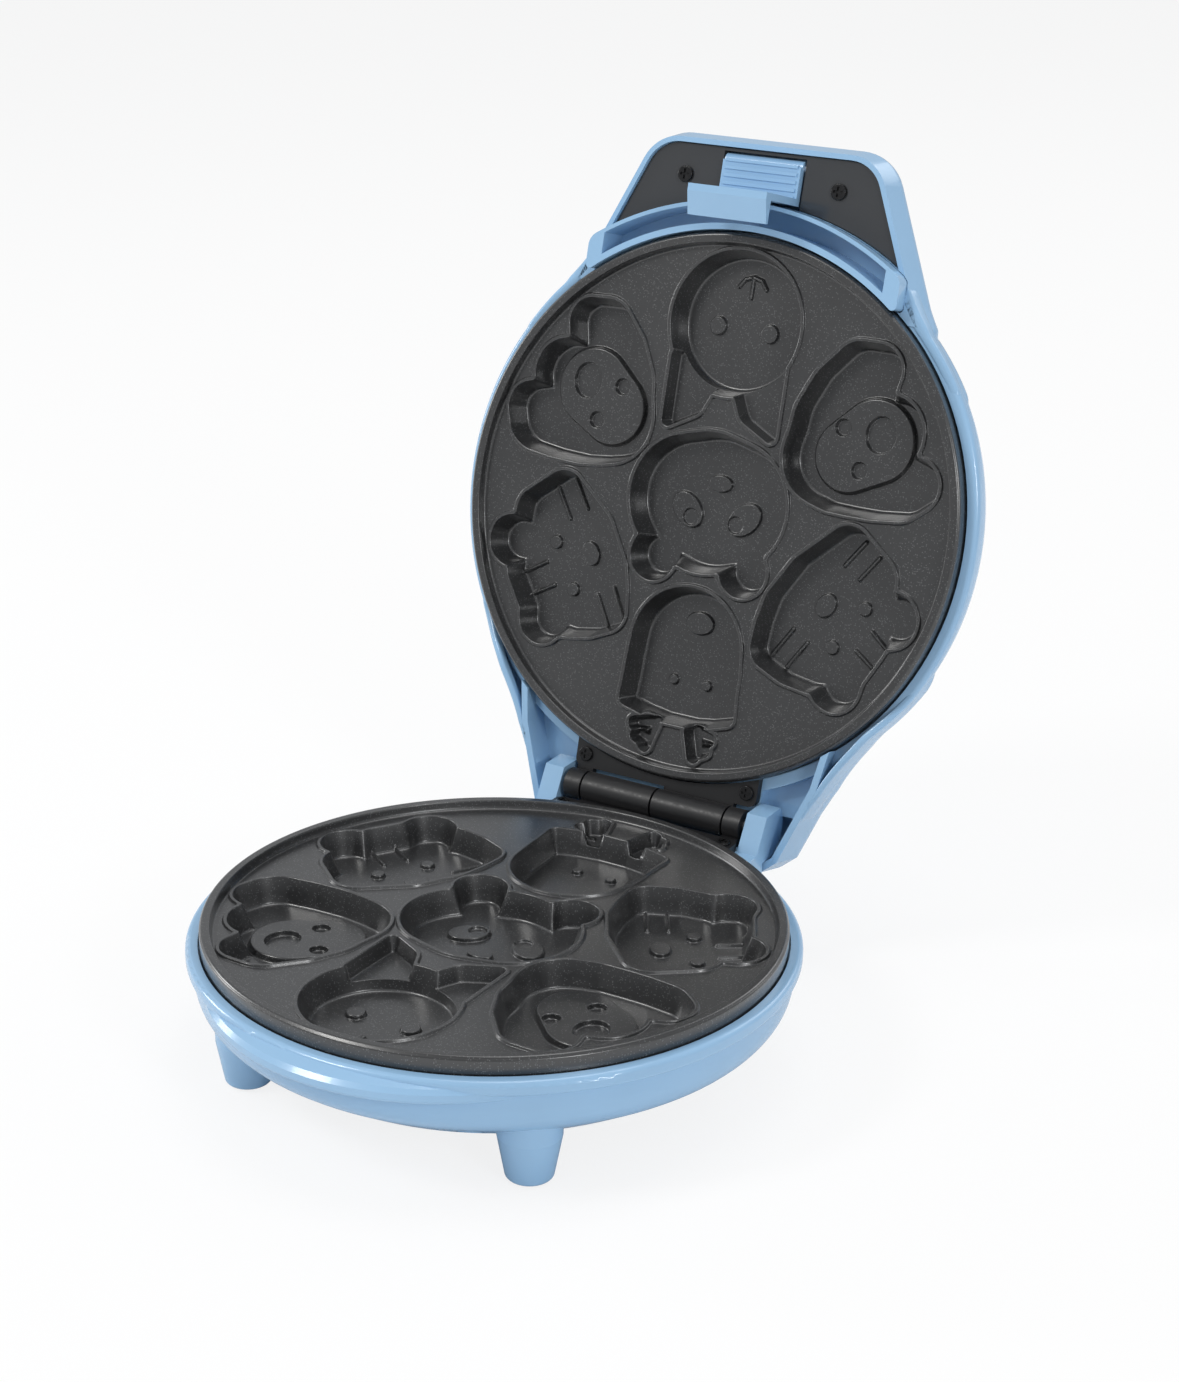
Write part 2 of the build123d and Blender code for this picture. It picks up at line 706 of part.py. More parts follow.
def foot_pad(x, y):
    return cylinder(pad_radius, 0, pad_stand + pad_recess, x, y)


# hinge castings; side -1 is the lower one, +1 the upper one, shut heights from the axis
def knuckle_spans(side):
    inner = knuckle_gap / 2
    outer = barrel_half - outer_knuckle
    spans = [(inner, outer - knuckle_gap), (-barrel_half, -outer)]
    return spans if side > 0 else [(-b, -a) for a, b in spans]


def hinge_casting(side):
    """Lower casting round the axis y = 0, z = 0; the upper one is its half turn about Y."""
    top = -(ring_top_drop - flange_thick) - closed_gap / 2
    low = -ring_top_drop - closed_gap / 2
    front = plate_radius * bridge_front_share - hinge_back
    flange = box(-flange_half, flange_half, front, -flange_back, low, top)
    flange -= cylinder(opening_radius + seat_gap, low - overrun, top + overrun, 0, -hinge_back)
    corners = [e for e in flange.edges().filter_by(Axis.Z) if abs(e.center().X) > barrel_half
               and e.center().Y > -flange_back - overrun]
    flange = fillet(corners, flange_corner)
    body = flange
    for x0, x1 in knuckle_spans(-1):
        body += rod(barrel_radius, x0, x1, 0, 0)
        body += box(x0, x1, -flange_back - flange_thick, 0, -barrel_radius, top)
        body -= rod(pin_radius + pin_bore_gap, x0 - overrun, x1 + overrun, 0, 0)
    for sign in (-1, 1):
        body -= cylinder(hinge_screw_radius + seat_gap, low - overrun, top + overrun,
                         sign * hinge_screw_x, -hinge_screw_back)
    if side > 0:
        body = Rot(0, 180, 0) * body
    return body


def at_axis(shape):
    return Pos(0, hinge_back, axis_height) * shape


# lid housing, heights up from the shut upper rim plane
def lid_shell():
    body = mirrored(bowl_outer())
    # grip
    root_y = -plate_radius * handle_root_share
    slope = (handle_root_half - handle_end_half) / (handle_reach + root_y)
    drop = handle_flare_height * tan_of(handle_flare)
    face_half = handle_root_half - drop
    outline = [(-face_half, root_y), (-(handle_end_half - drop), -handle_reach + drop / 2),
               (handle_end_half - drop, -handle_reach + drop / 2), (face_half, root_y)]
    grip = make_face(Polyline(*outline, close=True))
    grip = round_corner(grip, (*outline[1], 0), handle_corner)
    grip = round_corner(grip, (*outline[2], 0), handle_corner)
    lower = Pos(0, 0, handle_face) * extrude(grip, handle_flare_height, taper=-handle_flare)
    top_face = lower.faces().sort_by(Axis.Z)[-1]
    upper = extrude(top_face, handle_height - handle_flare_height, dir=(0, 0, 1))
    rim = [e for e in upper.faces().sort_by(Axis.Z)[-1].edges()
           if e.center().Y < root_y - overrun]
    upper = fillet(rim, handle_round)
    body += lower
    body += upper
    # tail round the hinge
    points = [(x * plate_radius, y * plate_radius) for x, y in tail_outline_shares]
    tail_points = points + [(-x, y) for x, y in reversed(points)]
    tail = make_face(Polyline(*tail_points, close=True))
    for sign in (-1, 1):
        tail = round_corner(tail, (sign * points[-1][0], points[-1][1], 0), tail_corner)
    outer = extrude(tail, tail_height)
    rim = [e for e in outer.faces().sort_by(Axis.Z)[-1].edges()
           if e.center().Y > points[0][1] + overrun]
    outer = fillet(rim, tail_round)
    body += outer
    # hollows
    body -= mirrored(bowl_inner())
    body -= mirrored(plate_opening())
    inside = offset(tail, -shell_wall)
    floor_y = hinge_back - platform_reach
    hollow = Pos(0, 0, -overrun) * extrude(inside, tail_height - shell_wall + overrun)
    hollow = fillet(hollow.faces().sort_by(Axis.Z)[-1].edges(), tail_round - shell_wall)
    behind = hollow & box(-ring_radius, ring_radius, floor_y, 2 * hinge_back, -2 * overrun,
                          tail_height)
    body -= behind
    for side in (-1, 1):
        x0, x1 = sorted((side * tail_floor_width, side * ring_radius))
        pocket = hollow & box(x0, x1, opening_radius * wing_front_share, floor_y + overrun,
                              -2 * overrun, tail_floor_height)
        body -= pocket - cylinder(ring_radius, -2 * overrun, tail_height)
    open_face = hollow & box(-ring_radius, ring_radius, 0, floor_y + overrun,
                             -2 * overrun, ring_top_drop)
    body -= open_face
    # tray in the grip
    tray = offset(grip, -handle_rim)
    tray = Pos(0, 0, handle_face - overrun) * extrude(
        tray, handle_height - shell_wall + overrun)
    tray -= cylinder(collar_outer + insert_gap, 0, handle_height * 2)
    body -= tray
    body += [cylinder(handle_post_radius, insert_face + insert_thick,
                      handle_face + handle_height - shell_wall / 2,
                      sign * handle_screw_x, -handle_screw_reach) for sign in (-1, 1)]
    body -= [cylinder(handle_screw_radius + seat_gap, insert_face - overrun,
                      insert_face + insert_thick + handle_screw_length,
                      sign * handle_screw_x, -handle_screw_reach) for sign in (-1, 1)]
    # seat of the collar
    body -= Pos(0, 0, -overrun - collar_face) * extrude(
        collar_face_outline(collar_seat_gap), collar_depth() + overrun + collar_face)
    # posts with sockets for the studs
    for post in shield_posts(-bowl_depth):
        body += mirrored(post)
    body -= [cylinder(screw_shank_radius + seat_gap, plate_boss_drop - overrun,
                      plate_boss_drop + stud_flange_height + stud_length + overrun, x, y)
             for x, y in boss_places]
    # hinge screws
    body -= [cylinder(hinge_screw_radius + seat_gap, ring_top_drop - overrun,
                      ring_top_drop + hinge_screw_length, sign * hinge_screw_x,
                      hinge_back - hinge_screw_back) for sign in (-1, 1)]
    for sign in (-1, 1):
        body -= cylinder(lens_radius + lens_gap, bowl_depth - 2 * shell_wall,
                         bowl_depth + overrun, sign * lens_x, -lens_reach)
    return body


def collar_depth():
    return collar_slot_depth + collar_floor


def collar_face_outline(grow=0):
    ring = Circle(collar_outer + grow) - Circle(collar_inner - grow)
    ring &= Pos(0, -collar_outer) * Rectangle(2 * (collar_half + grow),
                                                2 * collar_half)
    face = ring.faces().sort_by(Axis.Y)[0]
    for sign in (-1, 1):
        x = collar_half + grow
        face = round_corner(face, (sign * x, -sqrt((collar_outer + grow) ** 2 - x * x), 0),
                            collar_outer_corner)
        face = round_corner(face, (sign * x, -sqrt((collar_inner - grow) ** 2 - x * x), 0),
                            collar_inner_corner)
    return face


def grip_collar():
    body = Pos(0, 0, -collar_face) * extrude(collar_face_outline(), collar_depth() + collar_face)
    slot = Circle(collar_slot_outer) - Circle(collar_slot_inner)
    slot &= Pos(0, -collar_outer) * Rectangle(2 * collar_slot_half, 2 * collar_half)
    body -= Pos(0, 0, -collar_face - overrun) * extrude(slot.faces().sort_by(Axis.Y)[0],
                                                        collar_slot_depth + collar_face + overrun)
    return body


def grip_insert():
    root_y = -plate_radius * handle_root_share
    drop = handle_flare_height * tan_of(handle_flare)
    face_half = handle_root_half - drop
    outline = [(-face_half, root_y), (-(handle_end_half - drop), -handle_reach + drop / 2),
               (handle_end_half - drop, -handle_reach + drop / 2), (face_half, root_y)]
    grip = make_face(Polyline(*outline, close=True))
    grip = round_corner(grip, (*outline[1], 0), handle_corner)
    grip = round_corner(grip, (*outline[2], 0), handle_corner)
    plate = offset(grip, -handle_rim - insert_gap)
    body = Pos(0, 0, insert_face) * extrude(plate, insert_thick)
    body -= cylinder(collar_outer + insert_gap * 2, 0, handle_height)
    half = latch_half + latch_side_gap
    body -= box(-half, half, -handle_reach, -collar_outer + 2 * overrun, 0, handle_height)
    front = -latch_pivot_reach - latch_barrel_radius - latch_end_gap
    body += box(-half - latch_lug, half + latch_lug, front - latch_bridge, front, insert_face,
                insert_face + insert_thick)
    for sign in (-1, 1):
        x0, x1 = sorted((sign * half, sign * (half + latch_lug)))
        body += box(x0, x1, front - latch_bridge, -latch_pivot_reach + latch_barrel_radius,
                    insert_face, insert_face + latch_lug_depth)
    body -= rod(latch_pin_radius + pin_bore_gap, -half - latch_lug - overrun,
                half + latch_lug + overrun, -latch_pivot_reach, latch_pivot_height)
    body -= [cylinder(handle_screw_radius + seat_gap, insert_face - overrun,
                      insert_face + insert_thick + overrun, sign * handle_screw_x,
                      -handle_screw_reach) for sign in (-1, 1)]
    return body


def latch():
    x = latch_half
    y = -latch_pivot_reach
    body = rod(latch_barrel_radius, -x, x, y, latch_pivot_height)
    inboard = -latch_flange_reach + latch_flange_thick
    body += box(-x, x, y, inboard, latch_plate_front, latch_plate_front + latch_plate_thick)
    body += box(-x, x, y - latch_barrel_radius / 2, y, latch_plate_front + latch_plate_thick / 2,
                latch_pivot_height)
    hook_top = -(spout_bottom_drop + latch_hook_gap + closed_gap)
    hook_low = hook_top - latch_hook_root_thick
    body += box(-x, x, -latch_flange_reach, inboard, hook_low, latch_plate_front
                + latch_plate_thick)
    lip = [(inboard - latch_flange_thick / 2, hook_low), (inboard, hook_low),
           (-latch_hook_tip, hook_top - latch_hook_tip_thick), (-latch_hook_tip, hook_top),
           (inboard - latch_flange_thick / 2, hook_top)]
    body += side_prism(lip, -x, x)
    run = latch_pivot_reach - latch_flange_reach
    for i in range(latch_rib_count):
        rib_y = y + run * i / (latch_rib_count - 1)
        body += box(-x + latch_rib_width, x - latch_rib_width, rib_y - latch_rib_width / 2,
                    rib_y + latch_rib_width / 2, latch_plate_front - latch_rib_height,
                    latch_plate_front + latch_plate_thick / 2)
    body -= rod(latch_pin_radius + pin_bore_gap, -x - overrun, x + overrun, y,
                latch_pivot_height)
    return body


def lens(sign):
    inside = bowl_depth - shell_wall
    body = cylinder(lens_radius, inside - seat_gap, bowl_depth + lens_stand, sign * lens_x,
                    -lens_reach)
    body = fillet(body.edges().filter_by(GeomType.CIRCLE).sort_by(Axis.Z)[-1], lens_stand * cross_share)
    return body + cylinder(lens_radius + lens_flange, inside - seat_gap - lens_flange_thick,
                           inside - seat_gap, sign * lens_x, -lens_reach)


def plate_stud(x, y):
    """Steel stud, screwed into a boss of the upper plate and pressed into its post."""
    low = plate_boss_drop - plate_boss_hole_depth + seat_gap
    return cylinder(screw_shank_radius, low, plate_boss_drop + stud_length, x, y)


def cord_gland():
    body = rod_y(gland_radius, 0, gland_height, gland_seat_front - gland_flange,
                 gland_seat_rear + gland_length)
    body += rod_y(gland_flange_radius, 0, gland_height, gland_seat_front - gland_flange,
                  gland_seat_front)
    return body - rod_y(gland_bore, 0, gland_height, 0, hinge_back + gland_length)


def thermostat():
    top = mating_height - pocket_under
    return cylinder(thermostat_radius, top - thermostat_height, top - seat_gap, thermostat_x,
                    thermostat_back)


def thermal_fuse():
    floor = mating_height - bowl_depth + shell_wall
    return rod(fuse_radius, -fuse_x - fuse_length / 2, -fuse_x + fuse_length / 2, fuse_back,
               floor + fuse_radius)


def terminal_block():
    floor = mating_height - bowl_depth + shell_wall
    body = box(terminal_x - terminal_length / 2, terminal_x + terminal_length / 2,
               terminal_back - terminal_width / 2, terminal_back + terminal_width / 2, floor,
               floor + terminal_height)
    for i in range(terminal_ways):
        way = terminal_x + terminal_length * ((i + 1) / (terminal_ways + 1) - 1 / 2)
        body -= cylinder(terminal_bore, floor + terminal_height / 2,
                         floor + terminal_height + overrun, way, terminal_back)
    return body


parts = {}
plate = cook_plate()
parts["lower_housing"] = lower_housing()
parts["lower_cook_plate"] = below_rim(plate)
parts["lower_element"] = below_rim(heating_element())
parts["lower_heat_shield"] = below_rim(heat_shield())
plate_screw = screw(screw_head_radius, screw_head_height, screw_shank_radius,
                    post_web + plate_boss_hole_depth - overrun)
web_low = mating_height - plate_boss_drop - post_web
for number, (x, y) in enumerate(boss_places, 1):
    parts[f"lower_plate_screw_{number}"] = Pos(x, y, web_low) * Rot(180, 0, 0) * plate_screw
for name, (x, y) in zip(("front_left", "front_right", "rear_left", "rear_right"), foot_places()):
    parts[f"foot_{name}"] = foot(x, y)
    parts[f"foot_pad_{name}"] = foot_pad(x, y)
parts["lower_hinge_bracket"] = at_axis(hinge_casting(-1))
parts["hinge_pin"] = at_axis(rod(pin_radius, -barrel_half - pin_end, barrel_half + pin_end, 0, 0))
hinge_screw = screw(hinge_screw_head_radius, hinge_screw_head_height, hinge_screw_radius,
                    hinge_screw_length)
hinge_screw_y = hinge_back - hinge_screw_back
flange_top = mating_height - ring_top_drop + flange_thick
for name, sign in (("left", -1), ("right", 1)):
    parts[f"lower_hinge_screw_{name}"] = Pos(sign * hinge_screw_x, hinge_screw_y,
                                             flange_top) * hinge_screw
parts["thermostat"] = thermostat()
parts["thermal_fuse"] = thermal_fuse()
parts["terminal_block"] = terminal_block()
parts["cord_gland"] = cord_gland()

parts["upper_housing"] = on_lid(lid_shell())
parts["upper_cook_plate"] = on_lid(mirrored(plate))
parts["upper_element"] = on_lid(mirrored(heating_element()))
parts["upper_heat_shield"] = on_lid(mirrored(heat_shield()))
for number, (x, y) in enumerate(boss_places, 1):
    parts[f"upper_plate_stud_{number}"] = on_lid(plate_stud(x, y))
parts["upper_hinge_bracket"] = opening * at_axis(hinge_casting(1))
for name, sign in (("left", -1), ("right", 1)):
    seat = Pos(sign * hinge_screw_x, hinge_screw_y, ring_top_drop - flange_thick)
    parts[f"upper_hinge_screw_{name}"] = on_lid(seat * Rot(180, 0, 0) * hinge_screw)
parts["grip_collar"] = on_lid(grip_collar())
parts["grip_insert"] = on_lid(grip_insert())
grip_screw = screw(handle_screw_head_radius, handle_screw_head_height, handle_screw_radius,
                   handle_screw_length)
for name, sign in (("left", -1), ("right", 1)):
    seat = Pos(sign * handle_screw_x, -handle_screw_reach, insert_face)
    parts[f"grip_screw_{name}"] = on_lid(seat * Rot(180, 0, 0) * grip_screw)
    parts[f"indicator_lens_{name}"] = on_lid(lens(sign))
pin_half = latch_half + latch_side_gap + latch_lug
parts["latch_pin"] = on_lid(rod(latch_pin_radius, -pin_half, pin_half, -latch_pivot_reach,
                                latch_pivot_height))
parts["latch"] = on_lid(latch())

# origin under the middle of the open outline
boxes = [shape.bounding_box() for shape in parts.values()]
front = min(b.min.Y for b in boxes)
rear = max(b.max.Y for b in boxes)
shift = -(front + rear) / 2
os.makedirs("parts", exist_ok=True)
for name, shape in parts.items():
    export_step(Pos(0, shift, 0) * shape, f"parts/{name}.step")

pivot = opening * Pos(0, -latch_pivot_reach, lid_base + latch_pivot_height)
print("shift", shift, "front", front, "rear", rear)
print("hinge axis", 0, hinge_back + shift, axis_height)
print("latch axis", pivot.position.X, pivot.position.Y + shift, pivot.position.Z)
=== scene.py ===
"""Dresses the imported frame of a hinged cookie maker: cooking plates with animal faces,
moulded housings, grip, latch and hinge, with a plain studio stage.

Lengths inside the surface functions are in millimetres in the maker's frame: the plate's
centre at x = y = 0, z above the table, lid shut. frame_place() brings them to the frame.
"""

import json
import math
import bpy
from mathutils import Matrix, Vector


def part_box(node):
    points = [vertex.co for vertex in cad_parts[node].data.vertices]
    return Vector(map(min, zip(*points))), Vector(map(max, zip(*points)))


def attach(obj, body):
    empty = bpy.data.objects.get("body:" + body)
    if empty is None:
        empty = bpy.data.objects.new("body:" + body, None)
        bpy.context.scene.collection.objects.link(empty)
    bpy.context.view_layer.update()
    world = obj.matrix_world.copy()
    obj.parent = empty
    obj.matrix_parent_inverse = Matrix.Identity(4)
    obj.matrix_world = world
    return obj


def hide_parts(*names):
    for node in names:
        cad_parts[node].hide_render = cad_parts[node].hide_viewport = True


bl_info = {
    "name": "Cookie Maker Dressing",
    "version": (1, 0, 0),
    "blender": (4, 5, 0),
    "location": "3D View > Sidebar > Cookie Maker",
    "description": "Builds the visible surfaces of a hinged animal-face cookie maker",
    "category": "Object",
}

import bpy
import numpy as np
from bpy.props import FloatProperty, FloatVectorProperty, PointerProperty
from mathutils import Matrix, Vector
from mathutils.geometry import delaunay_2d_cdt

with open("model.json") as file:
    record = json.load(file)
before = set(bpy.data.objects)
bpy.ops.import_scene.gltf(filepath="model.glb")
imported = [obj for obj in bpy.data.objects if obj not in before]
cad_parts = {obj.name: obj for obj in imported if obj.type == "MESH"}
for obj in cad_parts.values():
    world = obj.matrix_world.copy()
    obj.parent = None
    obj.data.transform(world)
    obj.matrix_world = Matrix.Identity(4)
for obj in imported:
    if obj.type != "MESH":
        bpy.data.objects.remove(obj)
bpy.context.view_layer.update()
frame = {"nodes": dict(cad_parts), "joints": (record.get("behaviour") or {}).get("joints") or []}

JOINTS = {joint["name"]: joint for joint in frame["joints"]}
HINGE = Vector(JOINTS["lid_hinge"]["pos_m"])
OPEN_ANGLE = max(JOINTS["lid_hinge"]["range_deg"])
PLATE_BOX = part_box("lower_cook_plate")
PLATE_MIDDLE_Y = (PLATE_BOX[0].y + PLATE_BOX[1].y) / 2
PLATE_RADIUS = (PLATE_BOX[1].x - PLATE_BOX[0].x) / 2
MATING_HEIGHT = PLATE_BOX[1].z
LID_BASE = 2 * HINGE.z - MATING_HEIGHT
MM = 0.001

# Stands for any distance too great to matter, and the margin in which it is worked out
FAR = 99.0
MARGIN = 4.0
# degrees between the supporting lines that bound a hull
SUPPORT_STEP = 3.0
# points of a ring of the plates and of the floor
RIM_POINTS = 480
FLOOR_POINTS = 96

# The seven faces in millimetres: each list holds hulls, and a hull is the outline
# bounded by the outer tangents of its circles (x, y, radius).
DEEP_MOUTHS = {
    "deer": [
        [(0.2, 50.5, 21.9), (-14.3, 58, 7.8), (15, 57, 8.1), (-14, 64.5, 7.6), (14.3, 65, 7.5)],
        [(0.2, 50.5, 21.9), (-20.3, 72.2, 3.2), (20.7, 71.6, 3.2), (-13, 71, 6.1), (-5, 72.3, 6),
         (5.5, 72.3, 6), (12, 71.2, 6.1)],
    ],
    "bear": [
        [(-8.5, -2.8, 22.9), (8.5, -2.8, 22.9), (0, -2.6, 25.2)],
        [(-18.2, 19.2, 9.3)],
        [(18.2, 19.2, 9.3)],
    ],
    "cat": [
        [(0.3, -66.3, 25.6)],
    ],
    "dog_right": [
        [(43.3, -25.5, 16), (48, -22.3, 14.8), (55, -20.5, 13.2), (63, -19.8, 12.4),
         (72, -19.6, 11.2), (77.2, -21.3, 9.2)],
        [(43.3, -25.5, 16), (42, -38, 13.4), (45.6, -47, 12.9), (50.5, -56.3, 10.5),
         (57.2, -57.8, 9)],
        [(43.3, -25.5, 16), (64.5, -37.3, 13.2)],
    ],
    "dog_left": [
        [(-43.5, -27, 16), (-48, -23.6, 14.3), (-55, -21.6, 13.1), (-65, -21.5, 12.6),
         (-74, -22.5, 12.4), (-77.8, -25.5, 9.6)],
        [(-43.5, -27, 16), (-42.3, -39.5, 13.6), (-46, -48.5, 13), (-51, -57.8, 10.7),
         (-57.5, -59.3, 9)],
        [(-43.5, -27, 16), (-64.7, -39.3, 13.3)],
    ],
    "tiger_right": [
        [(34.2, 43.5, 8.3), (42, 45.5, 9.6), (50, 46.3, 10), (62, 46, 8.9), (68, 34.5, 9),
         (67, 13.5, 9.7), (57.2, 5, 9), (46, 18, 10.9), (39.5, 29.5, 11.3), (36.5, 36.5, 9.9)],
        [(60.3, 51.7, 9.5)],
        [(77.2, 25.5, 9.6)],
    ],
    "tiger_left": [
        [(-34.3, 42.3, 8.3), (-42, 44.3, 9.6), (-50, 45.3, 10), (-62, 45, 8.9), (-69, 33.5, 9.2),
         (-68, 12.5, 9.7), (-58.5, 4.2, 9.1), (-46.5, 16.5, 11), (-39.8, 28.8, 11.4),
         (-36.7, 35.7, 9.9)],
        [(-60.6, 50.5, 9.5)],
        [(-77.8, 24.2, 9.6)],
    ],
}
SHALLOW_MOUTHS = {
    "deer": [
        [(8.3, 79.6, 3.3), (10.2, 87.9, 2.7)],
        [(10.8, 80.2, 3), (15.2, 81, 2.7)],
        [(11.6, 86, 2.7), (14, 85.2, 2.6)],
        [(-8.3, 79.6, 3.3), (-10.2, 87.9, 2.7)],
        [(-10.8, 80.2, 3), (-15.2, 81, 2.7)],
        [(-11.6, 86, 2.7), (-14, 85.2, 2.6)],
    ],
    "cat": [
        [(20.6, -29.5, 2.4), (13.6, -38.4, 7.1), (5.6, -43.5, 2), (20.3, -52, 2.6)],
        [(-20.6, -29.5, 2.4), (-13.6, -38.4, 7.1), (-5.6, -43.5, 2), (-20.3, -52, 2.6)],
    ],
}
# the raised pad that carries the eyes and nose of each dog, hulls as above
FACE_PADS = [
    [(48.4, -27.2, 13), (57.4, -33.5, 14.8)],
    [(-47.7, -29.5, 13.4), (-56.6, -35.9, 14.6)],
]
# raised eyes, noses and eye patches: x, y, half length, half width, turn in degrees
RAISED_SPOTS = [
    (-6.4, 63.2, 1.9, 1.9, 0), (7.2, 63.2, 1.9, 1.9, 0), (0.7, 41.3, 5.6, 4.1, 0),
    (-11.3, 1.5, 7.3, 5.2, 42), (11.9, 1.7, 7.3, 5.2, -42), (0.4, -9.6, 4.7, 3, 0),
    (-10.3, -64.7, 3.3, 3.3, 0), (10.4, -64.3, 3.3, 3.3, 0),
    (53.6, 39.9, 2.5, 2.5, 0), (63.6, 24.3, 2.5, 2.5, 0), (48.7, 25.8, 3.6, 4.6, 31),
    (-53.6, 38.7, 2.5, 2.5, 0), (-63.6, 22.6, 2.5, 2.5, 0), (-48.4, 24.3, 3.6, 4.6, -31),
]
# eyes and noses sunk in a pad or patch
SUNK_SPOTS = [
    (-9.4, 3.9, 3, 3, 0), (8.8, 4, 3, 3, 0),
    (53.4, -22.7, 2.9, 2.9, 0), (44.8, -36.5, 2.9, 2.9, 0), (59.3, -36, 5.6, 6.4, 0),
    (-53.3, -24.6, 2.9, 2.9, 0), (-44.6, -37.9, 2.9, 2.9, 0), (-59.3, -38.2, 5.6, 6.5, 0),
]
# both ends of each raised line
RAISED_LINES = [
    (0.8, -75.9, 0.8, -83.1), (-4.5, -79.3, -2.4, -82.1), (-2.4, -82.1, 0.8, -83.1),
    (0.8, -83.1, 4.2, -82.1), (4.2, -82.1, 6.3, -79.3),
    (30.9, 46.9, 37.7, 36.2), (37.3, 50.1, 43.8, 40.1), (62.7, 39.3, 69.7, 44.1),
    (67.6, 31.8, 74.2, 36.9), (53.2, 10.7, 59.8, 1.5), (59.6, 14.6, 65.8, 5.9),
    (-31.2, 45.3, -36.7, 35), (-37, 49.4, -43, 38.9), (-71.2, 43.8, -61.9, 38.5),
    (-75.6, 36.1, -66.6, 30.6), (-59.3, 13.1, -66.2, 2.3), (-52.7, 8.3, -59.1, -1.6),
]

# How far the outlines of two hulls in a mouth round into each other
DEEP_BLEND = 1.6
SHALLOW_BLEND = 0.9

# Profiles of a plate, as distances and shares of a height. The first four run outwards
# across an outline; the rim's runs out from the centre, and its share is of the field drop.
BEAD_PROFILE = (np.array([1.0, 1.1, 1.22, 1.36, 1.48, 1.6, 1.7]),
                np.array([1.0, 0.97, 0.84, 0.46, 0.14, 0.03, 0.0]))
SPOT_PROFILE = (np.array([-0.42, -0.25, -0.1, 0.02, 0.12, 0.24, 0.4]),
                np.array([1.0, 0.96, 0.82, 0.5, 0.16, 0.03, 0.0]))
LINE_PROFILE = (np.array([-0.7, -0.4, -0.15, 0.05, 0.2, 0.38]),
                np.array([1.0, 0.9, 0.62, 0.3, 0.08, 0.0]))
PAD_PROFILE = (np.array([-0.7, -0.45, -0.2, 0.0, 0.2, 0.45, 0.75]),
               np.array([1.0, 0.97, 0.85, 0.6, 0.28, 0.06, 0.0]))
RIM_PROFILE = (np.array([0.0, 92.55, 92.9, 93.2, 93.42, 93.56, 93.78, 93.88, 94.02, 94.25,
                         96.35, 96.75, 97.05, 97.28]),
               np.array([-1.0, -1.0, -0.985, -0.92, -0.8, -0.64, -0.24, -0.11, -0.035, 0.0,
                         0.0, -0.03, -0.11, -0.22]))
# radii of rings that keep the field and the top of the rim level beside their edges
LEVEL_RINGS = (92.45, 94.35, 96.25)
# the side under the rim, radius and height: its upper rows from where the face ends, the
# others from the rim plane; and each row's normal, its outward and upward part
SIDE_EDGE = ((97.42, -0.35), (97.5, -0.8))
SIDE_SKIRT = ((97.5, -9.6), (96.9, -10.2), (95.6, -10.2))
SIDE_NORMALS = np.array([(0.62, 0.78), (0.87, 0.5), (1, 0.05), (1, -0.05), (0.7, -0.7), (0, -1)])
# arcs of a pocket wall: their points, and the radii at its edge and at its foot
ARC_POINTS = 7
WALL_EDGE = 0.46
DEEP_FOOT = 1.1
SHALLOW_FOOT = 0.7
# a row of points this far past each end of a profile keeps the level parts flat
PAST_END = 0.1
# half the width of the crease where a deep wall leaves the floor of an ear
CREASE = 0.06
# an ear's level lines run on this far into the deep parts
EAR_OVERLAP = 0.8
# half the distance over which a slope is measured
SLOPE_STEP = 0.04

# The lid's walls where its grip and its tail grow out of the round shell: the shell's
# radius at heights over the upper rim plane, then hulls of circles (x, y, radius)
LID_ROUND = (np.array([5.0, 9.4, 10.6, 11.3, 12.2, 23.5, 25.0]),
             np.array([102.2, 102.2, 101.6, 100.4, 99.8, 99.7, 99.3]))
GRIP_OUTLINE = [(69.6, -73.9, 0.2), (-69.6, -73.9, 0.2), (36.4, -115.6, 13.9),
                (-36.4, -115.6, 13.9)]
TAIL_OUTLINE = [(63.8, 73.1, 0.2), (-63.8, 73.1, 0.2), (60.8, 90, 0.2), (-60.8, 90, 0.2),
                (53.3, 110, 0.2), (-53.3, 110, 0.2), (45.4, 118.6, 5.0), (-45.4, 118.6, 5.0)]
GRIP_BLEND = 7.0
TAIL_BLEND = 17.0
# round upper edges: the height where each starts, and its radius
GRIP_ROUNDING = (15.5, 5.0)
TAIL_ROUNDING = (16.0, 9.0)
# heights between which the grip's side leans, and its inset at each
GRIP_LEAN = ([5.5, 14.5], [2.24, 0])
# each strip of wall: its name, its first and last polar angle in degrees, how far its lower
# edge drops, its upper height, its thickness, and whether it is the tail's
LID_BLENDS = (("tail", 26, 63, 6.0, 24.9, 2.6, True), ("grip", -30, -56, 0.5, 20.4, 4.2, False))
# height of a strip's lower edge where it starts, and the columns and rows of its grid
BLEND_BOTTOM = 6.0
BLEND_COLUMNS = 90
BLEND_ROWS = 26
# shares of a strip before its lower edge drops, and over which it drops
DROP_START = 0.08
DROP_SPAN = 0.42
# the greatest sink that hides a strip's ends, and the share of the strip that it takes
END_SINK = 1.6
END_SHARE = 0.12

# The fitted view: turns in degrees, the camera's place, and the shift of the picture
AZIMUTH, ELEVATION, ROLL = 31.4771, 23.2091, 0.6569
CAMERA_PLACE = (428.128, -659.3266, 434.5778)
PICTURE_SHIFT = (0.0217, 0.0651)

